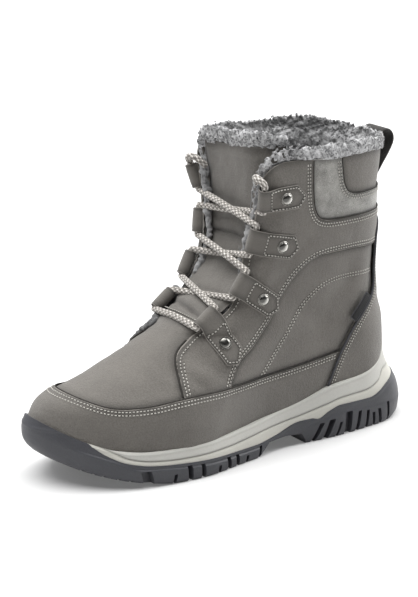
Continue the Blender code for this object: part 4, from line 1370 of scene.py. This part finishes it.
def build_rivets(colours):
    """A domed stud with a raised rim in each strap."""
    look = metal_look(colours.metal)
    sides = 40
    radius, foot, rise = RIVET_DOME
    dome = [(radius * math.cos(t), foot + rise * math.sin(t)) for t in np.linspace(0, 1.45, 10)]
    for index, side, word in STRAPS:
        spot, normal = SIDES.spot(side, LOOPS["rivet_along"][index], LOOPS["rivet_height"][index],
                                  STRAP_LIFT + STRAP_THICK + 0.1)
        first = unit(np.cross(normal, (0, 0, 1.0)))
        circle = circles(first, np.cross(normal, first), sides)
        rings = [spot + circle * wide + normal * height for wide, height in [*RIVET_RING, *dome]]
        points = np.vstack([*rings, [spot + normal * (foot + rise)]])
        last = (len(rings) - 1) * sides
        tip = [(last + i, last + (i + 1) % sides, len(points) - 1) for i in range(sides)]
        faces = [*grid_quads(len(rings), sides, True), *tip, range(sides)]
        made = new_object("stud_" + word, points, faces, look)
        sharpen(made, 50)
        face_out(made)
        settle(made, "rivet", "rivet_" + word)


def lace_middle(start, end, lift):
    """Middle of a crossing, lifted forwards and up by lift."""
    return (start + end) / 2 + np.array([0, 0.8, 0.6]) * lift


def lace_route(side):
    """Half of the lace: up through this side's lowest loop, then from side to side."""
    route = []
    for index in range(4):
        here = side * (-1) ** index
        low, top, axis = loop_frame(index, here)[:3]
        if route:
            over = (index % 2 == 1) == (side > 0)
            route.append(lace_middle(route[-1], low, CROSSING if over else -CROSSING))
        route += [low - axis * LACE_TURN, low, (low + top) / 2, top, top + axis * LACE_TURN]
    for x, along, height in LACE_END:
        route.append(top + np.array([here * x, along, height]))
    return route


def build_lace(colours, sizes):
    """The braided lace: a bar over the base of the throat, and a half that climbs from each of its ends."""
    outer, inner = lace_route(1), lace_route(-1)
    bar = lace_middle(outer[1], inner[1], BAR_SAG)
    path = curve_through([*outer[::-1], bar, *inner], 0.58)
    sides, strands, pitch = 32, 10, 21.0
    along = run_along(path)[:, None] / pitch
    turn = np.arange(sides) / sides
    one, two = (along + turn) * strands, (along - turn) * strands
    on_top = np.sin(math.pi * (one + two) / 2) * np.sin(math.pi * (one - two) / 2) > 0
    ridge = np.where(on_top, np.abs(np.sin(math.pi * one)), np.abs(np.sin(math.pi * two)))
    radii = sizes.lace_radius / MM * (0.94 + 0.08 * ridge)
    radii[[0, -1]] *= 0.75
    pale = np.where(on_top, np.where(np.floor(one) % 2 == 0, 1.0, 0.5), 0.12)
    # Painted shade: darker towards the sides of the strands and in the gaps between them.
    tone = pale * np.clip(0.2 + 1.2 * ridge, 0, 1)
    look = cord_look(colours.lace, colours.lace_dark_and_shade)
    settle(swept("lace_cord", path, radii, look, sides, strand=tone.ravel()), "lace", "lace")


# Sole -----------------------------------------------------------------------------------------
def sole_rings(levels, half_points, relief):
    """Rings up the sole's wall, pushed out by relief(along, height)."""
    rings = []
    for level in levels:
        along, half, height = sole_point_rows(level, stations(half_points))
        ring = both_sides(column(PLAN, "centre", along), half, along, height)
        rings.append(widened(ring, relief(ring[:, 1], ring[:, 2])))
    return rings


def closed_loft(name, rings, look):
    """Loft between rings, with both ends closed by strips from side to side."""
    count = len(rings[0])
    faces = [*grid_quads(len(rings), count, True)]
    for base, way in ((0, 1), ((len(rings) - 1) * count, -1)):
        for i in range(count // 2):
            corners = list(dict.fromkeys((i, (i + 1) % count, (count - i - 1) % count, (count - i) % count)))
            faces.append([base + k for k in corners[::way]])
    made = new_object(name, np.concatenate(rings), faces, look)
    face_out(made)
    return made


def prism(outline, x_from, x_to, far_outline=None):
    """A cutter: a side-view outline of (along, height) corners, drawn out from x_from to x_to."""
    work = bmesh.new()
    near = [work.verts.new(spot) for spot in place([(x_from, *corner) for corner in outline])]
    far = [work.verts.new(spot) for spot in place([(x_to, *corner) for corner in far_outline or outline])]
    work.faces.new(near)
    work.faces.new(far)
    for i in range(len(near)):
        j = (i + 1) % len(near)
        work.faces.new((near[i], near[j], far[j], far[i]))
    bmesh.ops.recalc_face_normals(work, faces=work.faces)
    return work


def cut_with(made, works):
    """Cut away one or more cutters that don't touch each other."""
    joined = bmesh.new()
    for work in works:
        part = bpy.data.meshes.new("cutter")
        work.to_mesh(part)
        work.free()
        joined.from_mesh(part)
        bpy.data.meshes.remove(part)
    mesh = bpy.data.meshes.new("cutter")
    joined.to_mesh(mesh)
    joined.free()
    cutter = bpy.data.objects.new("cutter", mesh)
    bpy.context.scene.collection.objects.link(cutter)
    modifier = made.modifiers.new("Cut", "BOOLEAN")
    modifier.operation = "DIFFERENCE"
    modifier.solver = "EXACT"
    modifier.object = cutter
    apply_modifiers(made)
    bpy.data.objects.remove(cutter, do_unlink=True)
    bpy.data.meshes.remove(mesh)


def tread_cutter(above, shift):
    """Everything above or below the tread line."""
    last = TREAD_LINE["along"][-1]
    steps = np.arange(TREAD_LINE["along"][0], last + 0.1, 2.0)
    line = [(float(s), float(column(TREAD_LINE, "height", s)) + shift) for s in steps]
    line.append((300.0, TREAD_LINE["height"][-1] + (300.0 - last)))
    far = 240.0 if above else -20.0
    return prism([(line[0][0], far), *line, (300.0, far)], -90.0, 90.0)


def cup_cutter():
    """The room for the foot, from the bed up to the rim."""
    first = upper_ring(FIRST, 60)
    bed = first.copy()
    bed[:, 2] = column(BED, "height", bed[:, 1])
    rings = [bed, first, *(upper_ring(height, 60) for height in (31, 38, 45, 52, 59))]
    made = closed_loft("cup", [widened(ring, 0.3) for ring in rings], None)
    work = bmesh.new()
    work.from_mesh(made.data)
    bpy.data.objects.remove(made, do_unlink=True)
    return work


def sole_edge(along):
    """Half width of the sole at its widest."""
    return column(PLAN, "half", along) * cap(along, HEEL_ROUND) * cap(LENGTH - along, TOE_ROUND)


def slot_outline(foot, head, half, top):
    """Corners of a slot in the side view, from far below the sole at foot up to its top at head."""
    return [(foot - half, -20), (foot + half, -20), (head + half, top), (head - half, top)]


def slot_cutters(table, side):
    """Slanted slots in the sole's edge, on one side of the foot, wider towards the outside."""
    slots = []
    for foot, head, top, width in zip(table["foot"], table["head"], table["top"], table["width"]):
        start = foot + (head - foot) * -20.0 / top
        edge = float(column(PLAN, "centre", foot)) + side * float(sole_edge(foot))
        inner = slot_outline(start, head, width / 2 - SLOT_FLARE / 2, top)
        outer = slot_outline(start, head, width / 2 + SLOT_FLARE, top)
        slots.append(prism(inner, edge - side * SLOT_DEPTH, edge + side * 6.0, outer))
    return slots


def groove_cutter(along, half, depth, reach):
    """A groove across the sole's underside, "reach" to both sides."""
    floor = float(column(UNDER, "height", along)) + depth
    return prism(slot_outline(along, along, half, floor), -reach, reach)


def sole_piece(name, look, levels, relief, *cuts):
    """A piece of the sole between two levels of its wall, less what each group of cutters takes away."""
    made = closed_loft(name, sole_rings(levels, SOLE_HALF, relief), look)
    for works in cuts:
        cut_with(made, works)
    sharpen(made, 38)
    return made


def build_midsole(colours):
    """The pale foam between the rim and the tread line, with its groove."""
    def relief(along, height):
        off = height - column(FOAM_GROOVE, "height", along)
        rim = column(RIM, "height", along) - height
        return -0.7 * np.exp(-(off / 0.7) ** 2) + 0.45 * np.exp(-((rim - 1.2) / 1.0) ** 2)

    made = sole_piece("midsole_foam", foam_look(colours.midsole, colours.midsole_lower),
                      SOLE_LEVELS, relief, [tread_cutter(False, -0.1)], [cup_cutter()])
    points, _ = read_mesh(made)
    off = points[:, 2] - column(FOAM_GROOVE, "height", points[:, 1])
    add_values(made.data, "band", ease((off + 0.4) / 0.8))
    # Mask of the groove, where the foam gets painted shade.
    add_values(made.data, "groove", np.exp(-(off / 0.55) ** 2))
    settle(made, "midsole", "midsole")


def build_outsole(colours):
    """The rubber under the tread line, with its arch, edge slots and cross grooves."""
    def relief(along, height):
        top = column(BLOCK_TOP, "height", along)
        block = ease((top - height) / 1.2) * column(BLOCK_TOP, "proud", along)
        lip = np.exp(-((column(TREAD_LINE, "height", along) - height - 1.0) / 0.9) ** 2)
        return 0.35 + 1.0 * block + 0.35 * lip

    slots = []
    for side in (1, -1):
        slots += [*slot_cutters(HEEL_SLOTS, side), *slot_cutters(BALL_SLOTS, side)]
    grooves = [groove_cutter(s, half=1.5, depth=3.0, reach=17 if s < 100 else 29) for s in GROOVES]
    grooves += [groove_cutter(s, half=0.9, depth=1.4, reach=90) for s in TOE_NOTCHES]
    made = sole_piece("outsole_rubber", rubber_look(colours.outsole), SOLE_LEVELS ** 1.15, relief,
                      [tread_cutter(True, 0.1)], [cup_cutter()], [prism(ARCH, -90, 90)], slots, grooves)
    settle(made, "outsole", "outsole")


def build_insole(colours):
    """The fleece insole on the bed, turned up a little along its edge."""
    rings = []
    for inset, share, rise in INSOLE_RINGS:
        ring = widened(upper_ring(FIRST, 90), -inset)
        bed = column(BED, "height", ring[:, 1])
        ring[:, 2] = bed + share * (column(RIM, "height", ring[:, 1]) - bed) + rise
        rings.append(ring)
    made = closed_loft("fleece_insole", rings, fleece_look(colours.fleece))
    remeshed(made, voxel=2.0, rounds=2)
    ruffle(made, full=0.5)
    settle(made, "fleece", "insole")


# Stitching ------------------------------------------------------------------------------------
def smoothed(line):
    """A line with its small steps taken out, between the same ends."""
    line = line.copy()
    for _ in range(6):
        line[1:-1] = (line[:-2] + 2 * line[1:-1] + line[2:]) / 4
    return line


def stitches_on(line, normals, pitch, length):
    """Start, end and normal of each stitch along a line."""
    line = smoothed(line)
    run = run_along(line)
    count = int((run[-1] - 0.6) / pitch)

    def read(rows, where):
        return np.array([np.interp(where, run, rows[:, k]) for k in range(3)])

    return [(read(line, at - length / 2), read(line, at + length / 2), unit(read(normals, at)))
            for at in (np.arange(count) + 0.5) * run[-1] / max(count, 1)]


def row_lines():
    """All rows of stitches on the upper: (points, normals, pitch) for each."""
    edge, vamp, quarter, suede, patch, guard, counter = distances(*PANEL_EDGES)
    trim = SKIN.from_edge(TRIM_LINE)
    height = SKIN.points[..., 2]
    above = least(-guard - 1, -counter - 1)
    over_rim = above_rim() - 1
    rows = (
        ("mudguard", (guard - 1.5, guard - 3.4), least(-counter - 1, over_rim)),
        ("facing", (vamp - 2.0,), least(-guard - 1, edge - 2.5)),
        ("facing", (vamp - 3.9,), least(-guard - 1, edge - 2.5, 74 - height)),
        ("facing", (-quarter - 1.9, -quarter - 3.8), above),
        ("facing", (edge - 3.0,), least(vamp - 2.0, 138 - height)),
        ("facing", (suede - 2.3, suede - 4.2), least(above, edge - 1.0)),
        ("suede", (patch - 1.2, patch - 3.1), least(edge - 1.0, -suede - 0.5)),
        ("base", (trim - 1.0, trim + 1.0), least(above, quarter - 2)),
        ("counter", (counter - 2.4, counter - 4.3), over_rim))
    return [(line, normals, COUNTER_PITCH if name == "counter" else PITCH)
            for name, fields, keep in rows for field in fields
            for line, normals in traced(panel_face(name), SKIN.normals, field, keep) if len(line) > 6]


def strap_rows():
    """The dashed row round each strap's end, with its cross row near the fold."""
    rows = []
    half = STRAP_WIDTH / 2
    row_half = half - ROW_INSET
    for index, side, _ in STRAPS:
        reach = strap_reach(index, side)
        tip = reach + STRAP_TIP - ROW_INSET * (math.hypot(half, STRAP_POINT) / half)
        shoulder = tip - row_half * STRAP_POINT / half
        fold = reach - CROSS_ROW
        corners = [(fold, -row_half), (shoulder, -row_half), (tip, 0), (shoulder, row_half), (fold, row_half)]
        for start, end in zip(corners, [*corners[1:], corners[0]]):
            steps = np.linspace(0, 1, 24)[:, None]
            u, v = (np.array(start) * (1 - steps) + np.array(end) * steps).T
            normals = strap_normals(index, side, u, v)
            line = strap_surface(index, side, u, v) + normals * (STRAP_THICK / 2 - 0.2)
            rows.append((line, normals, STRAP_PITCH))
    return rows


def tongue_rows():
    """Two short rows across the tongue's base."""
    rows = []
    for at in (2.44, 2.68):
        points, normals = tongue_grid(3, 60, first=at - 0.1, last=at + 0.1, lift=0.3)
        rows.append((points[1], normals[1], PITCH))
    return rows


def needle_holes(name, middle, ahead, cross, normal, look):
    """Flat dark oval discs of painted shade that show where the needle went in."""
    turn = (np.arange(8) / 8 * 2 * math.pi)[:, None]
    oval = HOLE_ALONG * ahead[:, None] * np.cos(turn) + HOLE_ACROSS * cross[:, None] * np.sin(turn)
    discs = np.concatenate([middle[:, None] + oval, middle[:, None] + 0.6 * oval - 0.15 * normal[:, None]], 1)
    near, far = np.moveaxis(np.arange(len(middle) * 16).reshape(-1, 2, 8), 1, 0)
    quads = np.stack([near, np.roll(near, -1, 1), np.roll(far, -1, 1), far], -1).reshape(-1, 4)
    return new_object(name, discs.reshape(-1, 3), [*quads, *far[:, ::-1], *near], look)


def build_stitching(colours, sizes):
    """Every stitch as a short arched thread that dips into the leather at both ends."""
    look = thread_look(colours.thread)
    # Painted shade: the holes are very dark leather discs.
    dark = napped_look("needle hole shade", [0.25 * part for part in colours.leather], sheen=0.0)
    widths = np.array(STITCH_WIDTHS) * sizes.thread_radius / MM
    rises = np.array(STITCH_RISES)[:, None]
    steps = np.linspace(0, 1, len(widths))[:, None]
    for word, rows in (("upper", row_lines()), ("straps", strap_rows()), ("tongue", tongue_rows())):
        every = np.array([stitch for line, normals, pitch in rows
                          for stitch in stitches_on(line, normals, pitch, pitch * sizes.stitch_share)])
        start, end, normal = every[:, 0], every[:, 1], every[:, 2]
        ahead = unit(end - start)
        cross = unit(np.cross(ahead, normal))
        path = start[:, None] + (end - start)[:, None] * steps + normal[:, None] * rises
        ring = circles(cross, normal, 5)[:, None]
        settle(short_tubes("stitches_" + word, path, ring, widths, look), "stitching")
        middle = end + ahead * (1 - sizes.stitch_share) * 1.1 + normal * 0.06
        settle(needle_holes("holes_" + word, middle, ahead, cross, normal, dark), "stitching")


# Small pieces ---------------------------------------------------------------------------------
def build_label(colours):
    """The blank woven tab on the outer side of the heel."""
    tilt = math.radians(LABEL["tilt"])
    u, v = np.meshgrid(np.linspace(-0.5, 0.5, 46) * LABEL["length"],
                       np.linspace(-0.5, 0.5, 20) * LABEL["width"], indexing="ij")
    along = LABEL["along"] - u * math.cos(tilt) + v * math.sin(tilt)
    height = LABEL["height"] + u * math.sin(tilt) + v * math.cos(tilt)
    border = np.minimum(LABEL["length"] / 2 - np.abs(u), LABEL["width"] / 2 - np.abs(v))
    lift = LABEL["lift"] - 0.25 * np.exp(-((border - 0.9) / 0.3) ** 2)
    points, normals = SIDES.spot(1, along, height)
    made = grid_object("side_tab", points + normals * lift[..., None],
                       ribbon_look("woven label", colours.black), border, normals)
    settle(firm(made, LABEL["thick"]), "label", "side_label")


def build_pull_loop(colours):
    """The leather loop behind the collar."""
    line = curve_through([(0, along, height) for along, height in PULL_LOOP], 1.0)
    across = np.linspace(-1, 1, 18)
    half = PULL_WIDTH / 2
    points = np.zeros((len(line), len(across), 3))
    points[..., 0] = across * half
    points[..., 1:] = line[:, None, 1:]
    look = napped_look("pull loop leather", colours.pull_loop, mottle=0.2, sheen=0.1)
    made = grid_object("heel_pull", points, look, half * (1 - np.abs(across)))
    add_thickness(made, PULL_THICK, 0)
    bevel = made.modifiers.new("Soft edge", "BEVEL")
    bevel.width = 0.5 * MM
    bevel.segments = 2
    bevel.limit_method = "ANGLE"
    bevel.angle_limit = math.radians(50)
    apply_modifiers(made)
    sharpen(made, 60)
    settle(made, "pull_loop", "pull_loop")


def build_curls(colours, sizes):
    """Loose curls over every part of the fleece that can be seen."""
    look = fleece_look(colours.fleece)
    random = np.random.default_rng(7)

    def round_collar(points, normals):
        """Chance of a curl: the open pile, and a little of the lining under the collar."""
        open_part = (inside_leather(points) < 0.0) & (points[:, 2] > 96)
        within = (outward(points, normals) < -0.3) & (points[:, 2] > 165)
        return open_part * 1.0 + within * 0.4

    def behind_tongue(points, normals):
        """Chance of a curl: the roll over the tongue's top, and a little of the back."""
        top = points[:, 2] - 0.12 * points[:, 0]
        return ((top > 204) * 1.0 + (top > 175) * 0.2) * ~under_tongue(points, normals)

    for name, source, count, wanted in (
            ("collar_curls", "shaft_fleece", sizes.curl_count, round_collar),
            ("tongue_curls", "tongue_fleece", sizes.curl_count // 3, behind_tongue)):
        seeds, normals = curl_seeds(bpy.data.objects[source], count, random, wanted)
        length, thickness = sizes.curl_length / MM, sizes.curl_thickness / MM
        settle(curl_object(name, seeds, normals, random, look, length, thickness), "fleece")


# Stage ----------------------------------------------------------------------------------------
TARGET = (-6.59, -3.25, 100.33)      # the point that the camera looks at, in millimetres
AZIMUTH, ELEVATION, ROLL = 56.85, 16.87, -0.53
DISTANCE = 1401.12
LENS = 126.62
SENSOR = 36.0
BRIGHT_SKY = (-0.2, -0.25, 0.947)    # the way to the brightest part of the sky


def camera_axes():
    """The camera's right, up and backward directions."""
    azimuth, elevation, roll = (math.radians(a) for a in (AZIMUTH, ELEVATION, ROLL))
    back = Vector((math.sin(azimuth) * math.cos(elevation), -math.cos(azimuth) * math.cos(elevation),
                   math.sin(elevation)))
    right = Vector((math.cos(azimuth), math.sin(azimuth), 0))
    up = back.cross(right)
    turned_right = math.cos(roll) * right + math.sin(roll) * up
    turned_up = -math.sin(roll) * right + math.cos(roll) * up
    return turned_right, turned_up, back


def add_camera():
    """The camera that looks at the boot's outer front."""
    right, up, back = camera_axes()
    lens = bpy.data.cameras.new("studio_camera")
    lens.lens = LENS
    lens.sensor_width = SENSOR
    lens.clip_start = 0.05
    lens.clip_end = 30
    seen = bpy.data.objects.new("studio_camera", lens)
    bpy.context.scene.collection.objects.link(seen)
    spot = (Vector(TARGET) + back * DISTANCE) * MM
    turn = Matrix((right, up, back)).transposed().to_4x4()
    seen.matrix_world = Matrix.Translation(spot) @ turn
    bpy.context.scene.camera = seen


def add_softbox(name, azimuth, elevation, spread, strength):
    """An even, soft light on the boot; azimuth 0 is in front of the toe, 90 the outer side."""
    light = bpy.data.lights.new(name, "SUN")
    light.angle = math.radians(spread)
    light.energy = strength
    a, e = math.radians(azimuth), math.radians(elevation)
    away = Vector((math.sin(a) * math.cos(e), -math.cos(a) * math.cos(e), math.sin(e)))
    box = bpy.data.objects.new(name, light)
    box.location = away
    box.rotation_euler = away.to_track_quat("Z", "Y").to_euler()
    bpy.context.scene.collection.objects.link(box)


def build_stage(stage):
    """The floor, the sky and the lights, and the camera."""
    size = stage.floor_size
    points = [(x * size / 2, y * size / 2, 0) for x, y in ((-1, -1), (1, -1), (1, 1), (-1, 1))]
    mesh = bpy.data.meshes.new("studio_floor")
    mesh.from_pydata(points, [], [(0, 1, 2, 3)])
    mesh.materials.append(plain_floor_look(stage.floor, stage.floor_glow))
    floor = bpy.data.objects.new("studio_floor", mesh)
    bpy.context.scene.collection.objects.link(floor)
    world = bpy.data.worlds.new("studio")
    world.use_nodes = True
    tree = world.node_tree
    spot = add_node(tree, "ShaderNodeTexCoord", {}).outputs["Generated"]
    toward = add_node(tree, "ShaderNodeVectorMath", {0: spot, 1: BRIGHT_SKY}, operation="DOT_PRODUCT")
    level = stretched(tree, toward.outputs["Value"], -0.6, 0.8, 0.35 * stage.ambient, 1.3 * stage.ambient)
    set_inputs(tree, tree.nodes["Background"], {"Strength": level})
    bpy.context.scene.world = world
    add_softbox("top_softbox", -30, 80, 60, stage.top)
    add_softbox("toe_softbox", -60, 45, 50, stage.toe)
    add_softbox("heel_softbox", 180, 35, 50, stage.heel)
    bpy.context.scene.view_settings.view_transform = "Standard"
    add_camera()


# Add-on ---------------------------------------------------------------------------------------
def colour_property(name, description, default):
    return FloatVectorProperty(name=name, description=description, default=default, subtype="COLOR",
                               min=0.0, max=1.0)


def length_property(name, description, default, smallest):
    return FloatProperty(name=name, description=description, default=default * MM, min=smallest * MM,
                         unit="LENGTH")


def light_property(name, description, default):
    return FloatProperty(name=name, description="Strength of the " + description, default=default)


class BootColours(bpy.types.PropertyGroup):
    """Colours of the boot's finishes"""
    leather: colour_property("Leather", "Brushed leather of the upper", (0.13, 0.1205, 0.108))
    overlay: colour_property("Overlays", "Mudguard and heel counter", (0.125, 0.116, 0.104))
    tongue: colour_property("Tongue", "Brushed leather of the tongue", (0.119, 0.111, 0.1))
    strap: colour_property("Straps", "Strap loops that hold the lace", (0.125, 0.116, 0.104))
    suede: colour_property("Suede", "Pale panel of the collar", (0.235, 0.23, 0.214))
    pull_loop: colour_property("Pull loop", "Loop at the heel", (0.03, 0.028, 0.026))
    fleece: colour_property("Fleece", "Lining and collar", (0.5, 0.5, 0.505))
    thread: colour_property("Thread", "Decorative stitching", (0.41, 0.395, 0.36))
    lace: colour_property("Lace", "Pale strands of the lace", (0.8, 0.765, 0.71))
    # The dark end of the lace's colours: darker strands, and the painted shade between the strands.
    lace_dark_and_shade: colour_property("Lace flecks", "Darker strands of the lace", (0.07, 0.06, 0.052))
    black: colour_property("Black ribbon", "Piping and side tab", (0.009, 0.009, 0.01))
    metal: colour_property("Rivets", "Studs on the straps", (0.5, 0.49, 0.46))
    midsole: colour_property("Midsole", "Upper band of the midsole", (0.47, 0.465, 0.435))
    midsole_lower: colour_property("Midsole, lower", "Lower band of the midsole", (0.5, 0.49, 0.445))
    outsole: colour_property("Outsole", "Black rubber", (0.045, 0.046, 0.053))


class BootSizes(bpy.types.PropertyGroup):
    """Sizes of the boot's small parts"""
    lace_radius: length_property("Lace radius", "Half the lace's thickness", 2.25, 0.5)
    thread_radius: length_property("Thread radius", "Half the thickness of a stitch", 0.41, 0.1)
    stitch_share: FloatProperty(name="Stitch share", description="A stitch's length as a part of its pitch",
                                default=0.74, min=0.3, max=1.0, subtype="FACTOR")
    curl_length: length_property("Curl length", "Length of a fleece curl", 1.6, 0.5)
    curl_thickness: length_property("Curl thickness", "Half the thickness of a fleece curl", 0.42, 0.1)
    curl_count: IntProperty(name="Curls", description="Number of loose fleece curls", default=4200, min=100)


class BootStage(bpy.types.PropertyGroup):
    """Floor and lights"""
    floor: colour_property("Floor", "Colour of the studio floor", (0.53, 0.53, 0.53))
    floor_glow: FloatProperty(name="Floor glow", description="Light given off by the floor",
                              default=0.14, min=0.0)
    floor_size: FloatProperty(name="Floor size", description="Side of the square floor",
                              default=12.0, unit="LENGTH")
    ambient: light_property("Ambient", "even light", 0.28)
    top: light_property("Top light", "light from above", 5.35)
    toe: light_property("Toe light", "light from the inner side", 1.0)
    heel: light_property("Heel light", "light on the heel", 4.0)


class BOOT_OT_outsole(bpy.types.Operator):
    """Mould the black outsole with its edge slots and cross grooves"""
    bl_idname = "boot.outsole"
    bl_label = "Outsole"

    def execute(self, context):
        build_outsole(context.scene.boot_colours)
        return {"FINISHED"}


class BOOT_OT_midsole(bpy.types.Operator):
    """Mould the pale midsole with its groove"""
    bl_idname = "boot.midsole"
    bl_label = "Midsole"

    def execute(self, context):
        build_midsole(context.scene.boot_colours)
        return {"FINISHED"}


class BOOT_OT_insole(bpy.types.Operator):
    """Lay the fleece insole on the bed"""
    bl_idname = "boot.insole"
    bl_label = "Insole"

    def execute(self, context):
        build_insole(context.scene.boot_colours)
        return {"FINISHED"}


class BOOT_OT_upper(bpy.types.Operator):
    """Cut the vamp and quarters, the facings and the suede collar"""
    bl_idname = "boot.upper"
    bl_label = "Upper"

    def execute(self, context):
        build_upper(context.scene.boot_colours)
        return {"FINISHED"}


class BOOT_OT_overlays(bpy.types.Operator):
    """Cut the mudguard and the heel counter, and lay the piping"""
    bl_idname = "boot.overlays"
    bl_label = "Overlays"

    def execute(self, context):
        build_overlays(context.scene.boot_colours)
        return {"FINISHED"}


class BOOT_OT_tongue(bpy.types.Operator):
    """Shape the padded tongue and the fleece behind it"""
    bl_idname = "boot.tongue"
    bl_label = "Tongue"

    def execute(self, context):
        colours = context.scene.boot_colours
        build_tongue(colours)
        build_tongue_fleece(colours)
        return {"FINISHED"}


class BOOT_OT_fleece(bpy.types.Operator):
    """Line the shaft and foot with fleece, and scatter its curls"""
    bl_idname = "boot.fleece"
    bl_label = "Fleece"

    def execute(self, context):
        scene = context.scene
        build_fleece(scene.boot_colours)
        build_curls(scene.boot_colours, scene.boot_sizes)
        return {"FINISHED"}


class BOOT_OT_straps(bpy.types.Operator):
    """Fold the eight strap loops round the lace"""
    bl_idname = "boot.straps"
    bl_label = "Straps"

    def execute(self, context):
        build_straps(context.scene.boot_colours)
        return {"FINISHED"}


class BOOT_OT_rivets(bpy.types.Operator):
    """Set a domed stud in each strap"""
    bl_idname = "boot.rivets"
    bl_label = "Rivets"

    def execute(self, context):
        build_rivets(context.scene.boot_colours)
        return {"FINISHED"}


class BOOT_OT_lace(bpy.types.Operator):
    """Thread the braided lace through the loops"""
    bl_idname = "boot.lace"
    bl_label = "Lace"

    def execute(self, context):
        build_lace(context.scene.boot_colours, context.scene.boot_sizes)
        return {"FINISHED"}


class BOOT_OT_stitching(bpy.types.Operator):
    """Sew every row of stitches"""
    bl_idname = "boot.stitching"
    bl_label = "Stitching"

    def execute(self, context):
        build_stitching(context.scene.boot_colours, context.scene.boot_sizes)
        return {"FINISHED"}


class BOOT_OT_trims(bpy.types.Operator):
    """Add the side tab and the pull loop"""
    bl_idname = "boot.trims"
    bl_label = "Tab and pull loop"

    def execute(self, context):
        build_label(context.scene.boot_colours)
        build_pull_loop(context.scene.boot_colours)
        return {"FINISHED"}


class BOOT_OT_stage(bpy.types.Operator):
    """Lay the floor and set up the lights and the camera"""
    bl_idname = "boot.stage"
    bl_label = "Stage"

    def execute(self, context):
        build_stage(context.scene.boot_stage)
        return {"FINISHED"}


OPERATORS = (
    BOOT_OT_stage, BOOT_OT_outsole, BOOT_OT_midsole, BOOT_OT_insole, BOOT_OT_upper, BOOT_OT_overlays,
    BOOT_OT_tongue, BOOT_OT_fleece, BOOT_OT_straps, BOOT_OT_rivets, BOOT_OT_lace, BOOT_OT_stitching,
    BOOT_OT_trims,
)


class BOOT_PT_panel(bpy.types.Panel):
    """The boot's pieces and their settings"""
    bl_idname = "BOOT_PT_panel"
    bl_label = "Ankle boot"
    bl_space_type = "VIEW_3D"
    bl_region_type = "UI"
    bl_category = "Boot"

    def draw(self, context):
        for operator in OPERATORS:
            self.layout.operator(operator.bl_idname)
        for settings in (context.scene.boot_colours, context.scene.boot_sizes, context.scene.boot_stage):
            box = self.layout.box()
            for key in settings.__annotations__:
                box.prop(settings, key)


SETTINGS = {"boot_colours": BootColours, "boot_sizes": BootSizes, "boot_stage": BootStage}
CLASSES = (*SETTINGS.values(), *OPERATORS, BOOT_PT_panel)


def register():
    for item in CLASSES:
        bpy.utils.register_class(item)
    for name, kind in SETTINGS.items():
        setattr(bpy.types.Scene, name, PointerProperty(type=kind))


def unregister():
    for name in SETTINGS:
        delattr(bpy.types.Scene, name)
    for item in reversed(CLASSES):
        bpy.utils.unregister_class(item)


def main():
    register()
    for operator in OPERATORS:
        family, name = operator.bl_idname.split(".")
        getattr(getattr(bpy.ops, family), name)()


if __name__ == "__main__":
    main()
